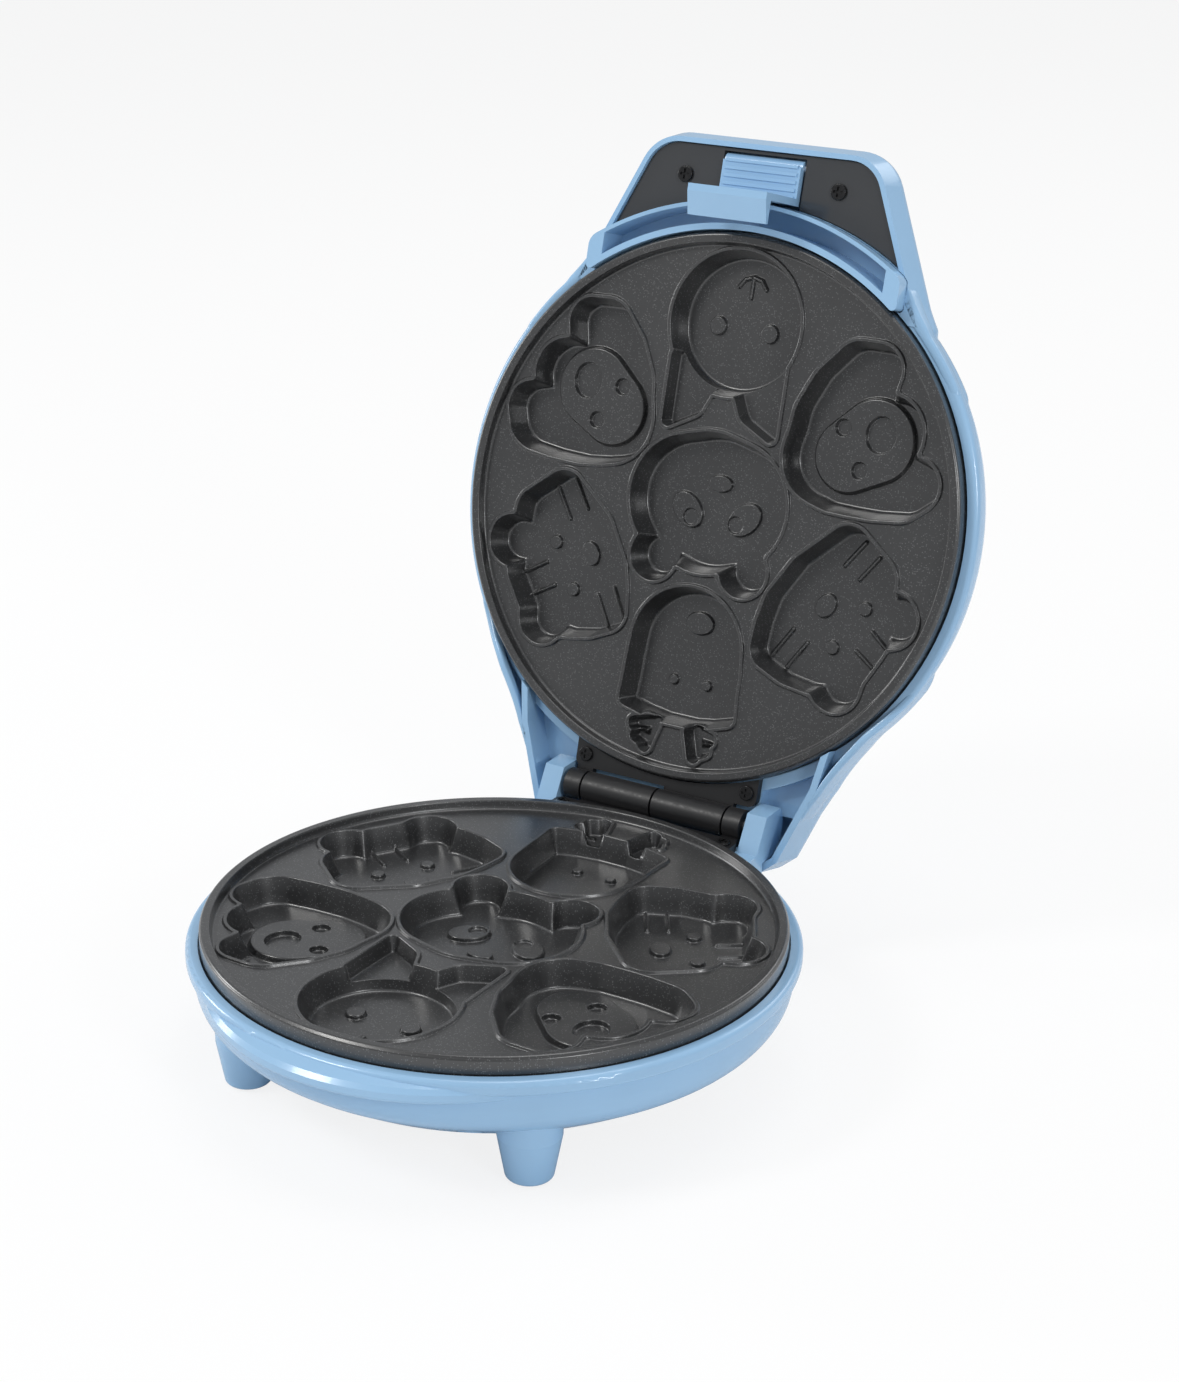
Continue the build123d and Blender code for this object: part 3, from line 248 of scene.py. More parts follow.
# Lamps: name, place in metres, size in metres, power in watts, colour
LAMPS = (
    ("key", (-0.9, -1.1, 1.5), 0.45, 12.0, (1.0, 0.99, 0.97)),
    ("fill", (1.5, -0.8, 0.9), 0.35, 7.5, (0.98, 0.99, 1.0)),
    ("side", (-1.7, -0.3, 0.5), 0.45, 6.0, (1.0, 1.0, 1.0)),
    ("top", (0.1, 0.3, 2.0), 1.0, 9.0, (1.0, 1.0, 1.0)),
    ("back", (0.5, 1.7, 1.3), 1.0, 6.0, (1.0, 1.0, 1.0)),
)
LAMP_TARGET = (0, 0, 0.12)
FLOOR_HEIGHT = -0.0003
# share of white that the camera sees in the floor
FLOOR_GLOW = 0.84


# Settings
class CookieMakerPlates(bpy.types.PropertyGroup):
    """Sizes of the two cooking plates."""

    field_drop: FloatProperty(
        name="Field drop", description="How far the baking field lies below the rim",
        default=0.0032, min=0.0, precision=5, unit="LENGTH")
    deep_pocket: FloatProperty(
        name="Pocket depth", description="Depth of a face pocket below the field",
        default=0.0085, min=0.001, precision=5, unit="LENGTH")
    shallow_pocket: FloatProperty(
        name="Ear depth", description="Depth of the cat's ears and the antlers",
        default=0.0046, min=0.001, precision=5, unit="LENGTH")
    wall_draft: FloatProperty(
        name="Draft", description="Lean of the pocket walls",
        default=math.radians(14.5), subtype="ANGLE")
    bead_height: FloatProperty(
        name="Bead height", description="Height of the raised line round each mouth",
        default=0.0009, min=0.0, precision=5, unit="LENGTH")
    spot_height: FloatProperty(
        name="Eye height", description="Height of the raised eyes and noses",
        default=0.0014, min=0.0, precision=5, unit="LENGTH")
    line_height: FloatProperty(
        name="Line height", description="Height of the raised stripes",
        default=0.0012, min=0.0, precision=5, unit="LENGTH")
    pad_height: FloatProperty(
        name="Pad height", description="Height of the dogs' face pads over the pocket floor",
        default=0.0022, min=0.0, precision=5, unit="LENGTH")
    sunk_floor: FloatProperty(
        name="Sunk floor", description="Height of the sunk eyes' floors over the pocket floor",
        default=0.0004, min=0.0, precision=5, unit="LENGTH")
    line_width: FloatProperty(
        name="Line width", description="Width of the raised stripes",
        default=0.0014, min=0.0002, precision=5, unit="LENGTH")
    grid_step: FloatProperty(
        name="Contour step", description="Spacing of the points that the outlines run through",
        default=0.0005, min=0.0002, precision=5, unit="LENGTH")


class CookieMakerFinish(bpy.types.PropertyGroup):
    """Colours of the moulded, coated and cast pieces."""

    housing_colour: FloatVectorProperty(
        name="Housing", description="Pastel blue of the moulded housings",
        default=(0.30, 0.50, 0.72), subtype="COLOR", min=0.0, max=1.0)
    coating_colour: FloatVectorProperty(
        name="Coating", description="Dark grey of the non-stick coating",
        default=(0.014, 0.0143, 0.015), subtype="COLOR", min=0.0, max=1.0)
    fleck_colour: FloatVectorProperty(
        name="Flecks", description="Paler specks in the coating",
        default=(0.22, 0.225, 0.23), subtype="COLOR", min=0.0, max=1.0)
    hinge_colour: FloatVectorProperty(
        name="Hinge", description="Satin black of the hinge castings",
        default=(0.012, 0.012, 0.013), subtype="COLOR", min=0.0, max=1.0)
    insert_colour: FloatVectorProperty(
        name="Grip insert", description="Glossy dark grey of the grip's underside",
        default=(0.04, 0.042, 0.045), subtype="COLOR", min=0.0, max=1.0)


class CookieMakerStage(bpy.types.PropertyGroup):
    """Camera, floor and lamps."""

    lens: FloatProperty(
        name="Lens", description="Focal length in millimetres", default=68.7, min=10.0)
    floor_colour: FloatVectorProperty(
        name="Floor", description="Colour of the pale floor",
        default=(0.88, 0.88, 0.88), subtype="COLOR", min=0.0, max=1.0)
    lamp_strength: FloatProperty(
        name="Lamps", description="Strength of the studio lamps as a factor", default=1.0, min=0.0)


# Helpers for meshes
def lid_opened(y, z):
    """A y and a z turned back by the open angle about the x axis."""
    angle = -math.radians(OPEN_ANGLE)
    return (y * math.cos(angle) - z * math.sin(angle),
            y * math.sin(angle) + z * math.cos(angle))


def frame_place(points, lid=False):
    """Millimetre points of the maker's frame, lid shut, as metres in the rest frame.

    On the lid, each point is turned back by the open angle about the hinge axis.
    """
    out = np.asarray(points, float) * MM
    out = out + np.array([0.0, PLATE_MIDDLE_Y, 0.0])
    if lid:
        y, z = lid_opened(out[..., 1] - HINGE.y, out[..., 2] - HINGE.z)
        out = np.stack([out[..., 0], HINGE.y + y, HINGE.z + z], -1)
    return out


def frame_turn(directions, lid=False):
    """Directions of the maker's frame as directions of the rest frame."""
    out = np.asarray(directions, float)
    if lid:
        out = np.stack([out[..., 0], *lid_opened(out[..., 1], out[..., 2])], -1)
    return out


def new_piece(name, points, faces, material, body, node=None, normals=None):
    """A mesh object at the origin, from an array of points in metres and a list of faces."""
    mesh = bpy.data.meshes.new(name)
    mesh.from_pydata(points.tolist(), [], faces)
    mesh.update()
    mesh.materials.append(material)
    mesh.polygons.foreach_set("use_smooth", np.full(len(mesh.polygons), True))
    if normals is not None:
        mesh.normals_split_custom_set_from_vertices(normals.tolist())
    piece = bpy.data.objects.new(name, mesh)
    bpy.context.scene.collection.objects.link(piece)
    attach(piece, body)
    if node:
        nodes = (node,) if isinstance(node, str) else node
        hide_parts(*nodes)
    return piece


def grid_faces(rows, columns, closed=True, start=0):
    """Quads of a grid of rows by columns, its columns joined end to end if closed."""
    i = np.arange(rows - 1)[:, None]
    j = np.arange(columns if closed else columns - 1)[None, :]
    k = (j + 1) % columns
    quads = np.stack([i * columns + j, i * columns + k, (i + 1) * columns + k,
                      (i + 1) * columns + j], -1)
    return quads.reshape(-1, 4) + start


# The plates' surface: a height over the plan, from distances to the faces' outlines
def hull_distance(x, y, circles):
    """Signed distance to the hull of circles: the greatest distance past any of its
    supporting lines, taken over evenly spread directions and each pair's tangents."""
    c = np.array(circles, float)
    angles = [np.radians(np.arange(0, 360, SUPPORT_STEP))]
    for i in range(len(c)):
        for j in range(i + 1, len(c)):
            way = c[j, :2] - c[i, :2]
            reach = float(np.hypot(*way))
            share = (c[i, 2] - c[j, 2]) / reach
            if abs(share) < 1:
                middle, spread = math.atan2(way[1], way[0]), math.acos(share)
                angles.append(np.array([middle + spread, middle - spread]))
    a = np.concatenate(angles)
    nx, ny = np.cos(a), np.sin(a)
    support = (c[:, 0:1] * nx + c[:, 1:2] * ny + c[:, 2:3]).max(0)
    return (x[:, None] * nx + y[:, None] * ny - support).max(1)


def near_hull_distance(x, y, circles, reach=7.0):
    """hull_distance() for the points near the hull, and a large number elsewhere."""
    c = np.array(circles, float)
    r = c[:, 2].max() + reach
    near = ((x > c[:, 0].min() - r) & (x < c[:, 0].max() + r)
            & (y > c[:, 1].min() - r) & (y < c[:, 1].max() + r))
    out = np.full(x.shape, FAR)
    if near.any():
        out[near] = hull_distance(x[near], y[near], circles)
    return out


def soft_union(a, b, blend):
    """The smaller of two distances, with their meeting rounded over the blend."""
    h = np.maximum(blend - np.abs(a - b), 0) / blend
    return np.minimum(a, b) - h * h * blend / 4


def oval_distance(x, y, ovals):
    """Distance to the nearest of several turned ellipses, good near their outlines."""
    out = np.full(x.shape, FAR)
    for cx, cy, a, b, turn in ovals:
        near = (abs(x - cx) < a + b + MARGIN) & (abs(y - cy) < a + b + MARGIN)
        t = math.radians(turn)
        u = (x[near] - cx) * math.cos(t) + (y[near] - cy) * math.sin(t)
        v = -(x[near] - cx) * math.sin(t) + (y[near] - cy) * math.cos(t)
        k1 = np.hypot(u / a, v / b)
        k2 = np.maximum(np.hypot(u / a ** 2, v / b ** 2), 1e-6)
        out[near] = np.minimum(out[near], np.where(k1 < 1e-3, -min(a, b), k1 * (k1 - 1) / k2))
    return out


def line_distance(x, y, lines, half):
    """Distance to the nearest of several round-ended lines of a half width."""
    out = np.full(x.shape, FAR)
    for x0, y0, x1, y1 in lines:
        cx, cy = (x0 + x1) / 2, (y0 + y1) / 2
        reach = math.hypot(x1 - x0, y1 - y0) / 2 + MARGIN
        near = (abs(x - cx) < reach) & (abs(y - cy) < reach)
        u, v = x[near] - x0, y[near] - y0
        wx, wy = x1 - x0, y1 - y0
        t = np.clip((u * wx + v * wy) / (wx * wx + wy * wy), 0, 1)
        out[near] = np.minimum(out[near], np.hypot(u - t * wx, v - t * wy) - half)
    return out


def mouth_distances(x, y):
    """Distances to the outlines of the whole mouths and of their deep parts."""
    deep = np.full(x.shape, FAR)
    whole = np.full(x.shape, FAR)
    for face, hulls in DEEP_MOUTHS.items():
        one = np.full(x.shape, FAR)
        for hull in hulls:
            one = soft_union(one, near_hull_distance(x, y, hull), DEEP_BLEND)
        deep = np.minimum(deep, one)
        for hull in SHALLOW_MOUTHS.get(face, ()):
            one = soft_union(one, near_hull_distance(x, y, hull), SHALLOW_BLEND)
        whole = np.minimum(whole, one)
    return whole, deep


def pad_distance(x, y):
    """Distance to the nearest of the dogs' face pads."""
    return np.minimum(near_hull_distance(x, y, FACE_PADS[0]),
                      near_hull_distance(x, y, FACE_PADS[1]))


def wall_table(depth, draft, edge, foot):
    """Depth across a pocket wall, as two arrays: distance inside the outline, depth.

    The level top turns through an arc of radius edge into the leaning wall, and that
    through an arc of radius foot into the floor.
    """
    half_turn = (math.pi / 2 - draft) / 2
    turn = np.linspace(0, 2 * half_turn, ARC_POINTS)
    top_length, foot_length = edge * math.tan(half_turn), foot * math.tan(half_turn)
    top = np.stack([-top_length + edge * np.sin(turn), edge * (1 - np.cos(turn))], 1)
    end = depth * math.tan(draft) + foot_length
    low = np.stack([end - foot * np.sin(turn[::-1]),
                    depth - foot * (1 - np.cos(turn[::-1]))], 1)
    both = np.concatenate([top, low])
    return both[:, 0], both[:, 1]


def plate_tables(sizes):
    """All profile tables of a plate, in millimetres, from the settings."""
    mm = 1 / MM
    bead = sizes.bead_height * mm
    deep, shallow = sizes.deep_pocket * mm + bead, sizes.shallow_pocket * mm + bead
    return {
        "bead": (BEAD_PROFILE[0], bead * BEAD_PROFILE[1]),
        "deep": wall_table(deep, sizes.wall_draft, WALL_EDGE, DEEP_FOOT),
        "shallow": wall_table(shallow, sizes.wall_draft, WALL_EDGE, SHALLOW_FOOT),
        "spot": SPOT_PROFILE,
        "line": LINE_PROFILE,
        "pad": PAD_PROFILE,
        "rim": RIM_PROFILE,
    }


def plate_height(x, y, sizes, tables):
    """Height of the plate over its rim plane, in millimetres.

    The field lies inside the rim; a bead rounds each mouth; the pocket is the deeper of
    the shallow pocket inside the whole mouth and the deep one inside its deep part; pads,
    eyes, noses and stripes stand on its floor, and other eyes and noses are sunk in them.
    """
    mm = 1 / MM
    r = np.hypot(x, y)
    base = np.interp(r, *tables["rim"]) * sizes.field_drop * mm
    whole, deep = mouth_distances(x, y)
    lift = np.interp(whole, *tables["bead"])
    dig = np.maximum(np.interp(-whole, *tables["shallow"]), np.interp(-deep, *tables["deep"]))
    floor = sizes.deep_pocket * mm + sizes.bead_height * mm
    pad = np.interp(pad_distance(x, y), *tables["pad"])
    spot = np.interp(oval_distance(x, y, RAISED_SPOTS), *tables["spot"])
    line = np.interp(line_distance(x, y, RAISED_LINES, sizes.line_width * mm / 2),
                     *tables["line"])
    for share, height in ((pad, sizes.pad_height), (spot, sizes.spot_height),
                          (line, sizes.line_height)):
        dig = np.where(share > 0, np.minimum(dig, floor - share * height * mm), dig)
    sunk = np.interp(oval_distance(x, y, SUNK_SPOTS), *tables["spot"])
    dig = dig + sunk * np.maximum(floor - sizes.sunk_floor * mm - dig, 0)
    return base + lift - dig


def level_lines(xs, ys, field, level):
    """Points and segments where a gridded field crosses a level, by marching squares."""
    s = field - level
    across = (s[:, :-1] < 0) != (s[:, 1:] < 0)
    along = (s[:-1, :] < 0) != (s[1:, :] < 0)
    id_across = np.full(across.shape, -1)
    id_across[across] = np.arange(across.sum())
    id_along = np.full(along.shape, -1)
    id_along[along] = across.sum() + np.arange(along.sum())
    j, i = np.nonzero(across)
    t = s[j, i] / (s[j, i] - s[j, i + 1])
    p = np.stack([xs[i] + t * (xs[i + 1] - xs[i]), ys[j]], 1)
    j, i = np.nonzero(along)
    t = s[j, i] / (s[j, i] - s[j + 1, i])
    q = np.stack([xs[i], ys[j] + t * (ys[j + 1] - ys[j])], 1)
    ids = np.stack([id_across[:-1], id_along[:, 1:], id_across[1:], id_along[:, :-1]])
    count = (ids >= 0).sum(0)
    two = np.sort(ids[:, count == 2], axis=0)[2:].T
    four = ids[:, count == 4].T
    return (np.concatenate([p, q]),
            np.concatenate([two, four[:, [0, 1]], four[:, [2, 3]]]).astype(int))


def plan_levels(tables):
    """The level lines that divide a plate's plan, each as a field's name and a distance.

    They run through the points of the profiles. The field "ear" is the distance to the
    whole mouths, kept only outside their deep parts.
    """
    bead, deep, shallow = (tables[name][0] for name in ("bead", "deep", "shallow"))
    levels = [("whole", v) for v in (bead[0] - PAST_END, *bead, bead[-1] + PAST_END)]
    levels += [("whole", -v) for v in (deep[0] - PAST_END, *deep[:ARC_POINTS:2])]
    levels += [("deep", -v) for v in (*deep[ARC_POINTS:], deep[-1] + PAST_END)]
    levels += [("ear", -v) for v in (*shallow[ARC_POINTS:], shallow[-1] + PAST_END)]
    leave = float(np.interp(tables["shallow"][1][-1], tables["deep"][1], deep))
    levels += [("deep", -leave + CREASE), ("deep", -leave - CREASE)]
    for field, table in (("spot", "spot"), ("sunk", "spot"), ("line", "line"), ("pad", "pad")):
        ends = tables[table][0]
        levels += [(field, v) for v in (ends[0] - PAST_END, *ends, ends[-1] + PAST_END)]
    return levels


def outside_deep(points, segments):
    """The segments, and the points they use, that lie outside the mouths' deep parts."""
    middle = points[segments].mean(1)
    _, deep = mouth_distances(middle[:, 0], middle[:, 1])
    segments = segments[deep > -EAR_OVERLAP]
    used = np.unique(segments)
    place = np.full(len(points), -1)
    place[used] = np.arange(len(used))
    return points[used], place[segments]


def unit_ring():
    """Points of a circle of radius 1: cosine and sine of evenly spread turns."""
    turn = np.linspace(0, 2 * math.pi, RIM_POINTS, endpoint=False)
    return np.stack([np.cos(turn), np.sin(turn)], 1)


def carried_round(profile):
    """A profile of radii and heights carried round the centre, one ring for each row."""
    ring = unit_ring()
    return np.stack([profile[:, 0:1] * ring[:, 0], profile[:, 0:1] * ring[:, 1],
                     np.repeat(profile[:, 1:2], RIM_POINTS, 1)], -1).reshape(-1, 3)


def plate_plan(sizes, tables):
    """Points and triangles of a plate's plan.

    The plan is divided along the level lines of the distances that its height depends on,
    so that each edge of the triangles follows the mould's own edges.
    """
    step = sizes.grid_step / MM
    half = math.ceil((PLATE_RADIUS / MM + 1) / step) * step
    xs = ys = np.arange(-half, half + step / 2, step)
    gx, gy = np.meshgrid(xs, ys)
    x, y = gx.ravel(), gy.ravel()
    whole, deep = mouth_distances(x, y)
    fields = {
        "whole": whole, "deep": deep, "ear": whole, "pad": pad_distance(x, y),
        "spot": oval_distance(x, y, RAISED_SPOTS), "sunk": oval_distance(x, y, SUNK_SPOTS),
        "line": line_distance(x, y, RAISED_LINES, sizes.line_width / MM / 2),
    }
    points, segments, count = [], [], 0
    for name, level in plan_levels(tables):
        p, e = level_lines(xs, ys, fields[name].reshape(gx.shape), level)
        if name == "ear":
            p, e = outside_deep(p, e)
        points.append(p)
        segments.append(e + count)
        count += len(p)
    ring, first = unit_ring(), np.arange(RIM_POINTS)
    for r in (LEVEL_RINGS[0], *tables["rim"][0][1:], *LEVEL_RINGS[1:]):
        points.append(ring * r)
        segments.append(np.stack([first, (first + 1) % RIM_POINTS], 1) + count)
        count += RIM_POINTS
    points, segments = np.concatenate(points), np.concatenate(segments)
    out = delaunay_2d_cdt([Vector(p) for p in points.tolist()], segments.tolist(), [], 0,
                          1e-4, False)
    plan = np.array([tuple(v) for v in out[0]])
    triangles = np.array(out[2])
    middle = plan[triangles].mean(1)
    return plan, triangles[np.hypot(middle[:, 0], middle[:, 1]) < tables["rim"][0][-1]]


def plate_surface(sizes):
    """Points, triangles, quads and normals of a plate in its own plane, rim at 0.

    The face is plate_height() over the plan, and its normals come from the slopes of that
    height. The quads are the side under the rim, a profile carried round the centre.
    """
    tables = plate_tables(sizes)
    plan, triangles = plate_plan(sizes, tables)
    x, y = plan[:, 0], plan[:, 1]
    z = plate_height(x, y, sizes, tables)
    e = SLOPE_STEP
    slope_x = plate_height(x + e, y, sizes, tables) - plate_height(x - e, y, sizes, tables)
    slope_y = plate_height(x, y + e, sizes, tables) - plate_height(x, y - e, sizes, tables)
    normals = np.stack([-slope_x / (2 * e), -slope_y / (2 * e), np.ones(len(x))], 1)
    normals /= np.linalg.norm(normals, axis=1)[:, None]
    last = tables["rim"][1][-1] * sizes.field_drop / MM
    profile = np.array([(tables["rim"][0][-1], last),
                        *((r, last + drop) for r, drop in SIDE_EDGE), *SIDE_SKIRT])
    quads = grid_faces(len(profile), RIM_POINTS, True, len(x))[:, ::-1]
    return (np.concatenate([np.stack([x, y, z], 1), carried_round(profile)]), triangles, quads,
            np.concatenate([normals, carried_round(SIDE_NORMALS)]))


# The lid's walls beside its grip and its tail
def rounded_inset(height, start, radius):
    """How far a round upper edge has drawn in at a height: a quarter circle from its start."""
    rise = np.maximum(height - start, 0)
    return radius - np.sqrt(np.maximum(radius ** 2 - rise ** 2, 0))


def lid_distance(x, y, height, tail):
    """Distance past the lid's wall at a height over the upper rim plane: the soft union
    of the round shell and of the grip or the tail, which lean or round off as moulded."""
    shell = np.hypot(x, y) - np.interp(height, *LID_ROUND)
    if tail:
        inset = rounded_inset(height, *TAIL_ROUNDING)
        return soft_union(shell, hull_distance(x, y, TAIL_OUTLINE) + inset, TAIL_BLEND)
    inset = np.interp(height, *GRIP_LEAN) + rounded_inset(height, *GRIP_ROUNDING)
    return soft_union(shell, hull_distance(x, y, GRIP_OUTLINE) + inset, GRIP_BLEND)


def lid_wall(turns, low, high, wall, sink, tail):
    """Points of a strip of the lid's wall over the polar angle and the height.

    At each angle the radius is found by halving where lid_distance() is zero, less the
    sink that hides the strip's ends in the shell. A rounded edge at the low end leads
    over to an inner face, one wall thickness inside, and a level cap closes the top.
    """
    edge_height, skin = 0.8, 0.06
    least, greatest, halvings = 90.0, 136.0, 22
    inner_limit, cap_radius = 98.9, 97.6
    low = low + sink
    rise = np.linspace(0, 1, BLEND_ROWS)
    heights = low[None, :] + edge_height + rise[:, None] * (high - edge_height - low[None, :])
    turn = np.broadcast_to(turns, heights.shape)
    inner, outer = np.full(heights.shape, least), np.full(heights.shape, greatest)
    for _ in range(halvings):
        r = (inner + outer) / 2
        past = lid_distance((r * np.cos(turn)).ravel(), (r * np.sin(turn)).ravel(),
                            heights.ravel(), tail).reshape(r.shape) > 0
        outer, inner = np.where(past, r, outer), np.where(past, inner, r)
    r = (inner + outer) / 2 + skin - sink
    side = np.maximum(r[0] - wall, inner_limit)
    edge = [(side, low + 3.0), (side, low + 0.7), (side + 0.2, low + 0.2), (side + 0.7, low),
            (r[0] - 1.0, low), (r[0] - 0.3, low + 0.2)]
    cap = [r[-1] - 0.3, (r[-1] + cap_radius) / 2, np.full(r.shape[1], cap_radius)]
    radius = np.concatenate([[e[0] for e in edge], r, cap])
    level = np.concatenate([[e[1] for e in edge], heights, np.full((len(cap), r.shape[1]), high)])
    turn = np.broadcast_to(turns, radius.shape)
    return np.stack([radius * np.cos(turn), radius * np.sin(turn), level], -1)


# Materials
def node_group(name, inputs, outputs):
    """An empty shader group with named sockets."""
    group = bpy.data.node_groups.get(name)
    if group:
        return group, None, None, None
    group = bpy.data.node_groups.new(name, "ShaderNodeTree")
    for kind, label, value in inputs:
        socket = group.interface.new_socket(name=label, in_out="INPUT", socket_type=kind)
        if value is not None:
            socket.default_value = value
    for kind, label in outputs:
        group.interface.new_socket(name=label, in_out="OUTPUT", socket_type=kind)
    return (group, group.nodes.new("NodeGroupInput"), group.nodes.new("NodeGroupOutput"),
            group.links.new)


def speckle_group():
    """Fine flecks and grain of a sprayed coating: a fleck mask, a tone and a height."""
    group, given, out, link = node_group(
        "Sprayed speckle",
        [("NodeSocketFloat", "Fleck size", 0.0007), ("NodeSocketFloat", "Fleck share", 0.3)],
        [("NodeSocketFloat", "Flecks"), ("NodeSocketFloat", "Tone"),
         ("NodeSocketFloat", "Height")])
    if given is None:
        return group
    nodes = group.nodes
    where = nodes.new("ShaderNodeTexCoord")
    scale = nodes.new("ShaderNodeMath")
    scale.operation = "DIVIDE"
    scale.inputs[0].default_value = 1.0
    link(given.outputs["Fleck size"], scale.inputs[1])
    grain = nodes.new("ShaderNodeTexNoise")
    grain.inputs["Detail"].default_value = 2.0
    link(where.outputs["Object"], grain.inputs["Vector"])
    link(scale.outputs[0], grain.inputs["Scale"])
    cells = nodes.new("ShaderNodeTexVoronoi")
    cells.feature = "F1"
    link(where.outputs["Object"], cells.inputs["Vector"])
    link(scale.outputs[0], cells.inputs["Scale"])
    pick = nodes.new("ShaderNodeSeparateColor")
    link(cells.outputs["Color"], pick.inputs[0])
    chosen = nodes.new("ShaderNodeMath")
    chosen.operation = "LESS_THAN"
    link(pick.outputs[0], chosen.inputs[0])
    link(given.outputs["Fleck share"], chosen.inputs[1])
    near = nodes.new("ShaderNodeMapRange")
    near.inputs["From Min"].default_value = 0.45
    near.inputs["From Max"].default_value = 0.2
    link(cells.outputs["Distance"], near.inputs["Value"])
    mask = nodes.new("ShaderNodeMath")
    mask.operation = "MULTIPLY"
    link(chosen.outputs[0], mask.inputs[0])
    link(near.outputs[0], mask.inputs[1])
    link(mask.outputs[0], out.inputs["Flecks"])
    broad = nodes.new("ShaderNodeTexNoise")
    broad.inputs["Scale"].default_value = 28.0
    broad.inputs["Detail"].default_value = 3.0
    link(where.outputs["Object"], broad.inputs["Vector"])
    link(broad.outputs["Fac"], out.inputs["Tone"])
    link(grain.outputs["Fac"], out.inputs["Height"])
    return group


def moulded_group():
    """Slight unevenness of moulded plastic: a tone, a roughness shift and a height."""
    group, given, out, link = node_group(
        "Moulded skin",
        [("NodeSocketFloat", "Wave size", 0.03), ("NodeSocketFloat", "Scuff size", 0.004)],
        [("NodeSocketFloat", "Tone"), ("NodeSocketFloat", "Scuffs"),
         ("NodeSocketFloat", "Height")])
    if given is None:
        return group
    nodes = group.nodes
    where = nodes.new("ShaderNodeTexCoord")
    for label, size, detail in (("Tone", "Wave size", 2.0), ("Scuffs", "Scuff size", 6.0)):
        scale = nodes.new("ShaderNodeMath")
        scale.operation = "DIVIDE"
        scale.inputs[0].default_value = 1.0
        link(given.outputs[size], scale.inputs[1])
        noise = nodes.new("ShaderNodeTexNoise")
        noise.inputs["Detail"].default_value = detail
        link(where.outputs["Object"], noise.inputs["Vector"])
        link(scale.outputs[0], noise.inputs["Scale"])
        link(noise.outputs["Fac"], out.inputs[label])
        if label == "Scuffs":
            link(noise.outputs["Fac"], out.inputs["Height"])
    return group


def new_material(name, group, **values):
    """A material with a Principled shader and one effect group with its own values."""
    material = bpy.data.materials.new(name)
    material.use_nodes = True
    shader = material.node_tree.nodes["Principled BSDF"]
    effect = material.node_tree.nodes.new("ShaderNodeGroup")
    effect.node_tree = group
    for label, value in values.items():
        effect.inputs[label.replace("_", " ").capitalize()].default_value = value
    return material, shader, effect


def mix_colour(material, factor, low, high):
    """A colour between two colours by a value that changes over the surface.

    Inputs 6 and 7 and output 2 are the Mix node's colour sockets.
    """
    mix = material.node_tree.nodes.new("ShaderNodeMix")
    mix.data_type = "RGBA"
    material.node_tree.links.new(factor, mix.inputs["Factor"])
    for socket, colour in ((mix.inputs[6], low), (mix.inputs[7], high)):
        if hasattr(colour, "is_linked"):
            material.node_tree.links.new(colour, socket)
        else:
            socket.default_value = (*colour[:3], 1.0)
    return mix.outputs[2]


def map_value(material, value, low, high, from_low=0.3, from_high=0.7):
    """A value carried from one range to another."""
    span = material.node_tree.nodes.new("ShaderNodeMapRange")
    for label, number in (("From Min", from_low), ("From Max", from_high), ("To Min", low),
                          ("To Max", high)):
        span.inputs[label].default_value = number
    material.node_tree.links.new(value, span.inputs["Value"])
    return span.outputs[0]


def add_bump(material, shader, height, strength, distance):
    """A bump from a height, into the shader's normal."""
    bump = material.node_tree.nodes.new("ShaderNodeBump")
    bump.inputs["Strength"].default_value = strength
    bump.inputs["Distance"].default_value = distance
    material.node_tree.links.new(height, bump.inputs["Height"])
    material.node_tree.links.new(bump.outputs[0], shader.inputs["Normal"])


def tinted(colour, factor):
    """A colour made darker or lighter by a factor."""
    return tuple(min(1.0, c * factor) for c in colour[:3])


def uneven_material(name, colour, darker, lighter, gloss, **sizes):
    """A material with a base colour that drifts between two tones, and scuffs in its gloss."""
    material, shader, effect = new_material(name, moulded_group(), **sizes)
    tone = map_value(material, effect.outputs["Tone"], 0.0, 1.0)
    material.node_tree.links.new(
        mix_colour(material, tone, tinted(colour, darker), tinted(colour, lighter)),
        shader.inputs["Base Color"])
    material.node_tree.links.new(map_value(material, effect.outputs["Scuffs"], *gloss),
                                 shader.inputs["Roughness"])
    return material, shader, effect


def plastic(name, colour, low, high, coat=0.0, grain=0.00002):
    """Moulded plastic with fine scuffs, under a thin gloss if it has a coat."""
    material, shader, effect = uneven_material(name, colour, 0.97, 1.03, (low, high),
                                               wave_size=0.04, scuff_size=0.0016)
    shader.inputs["Coat Weight"].default_value = coat
    shader.inputs["Coat Roughness"].default_value = 0.08
    if grain:
        add_bump(material, shader, effect.outputs["Height"], 0.25, grain)
    return material


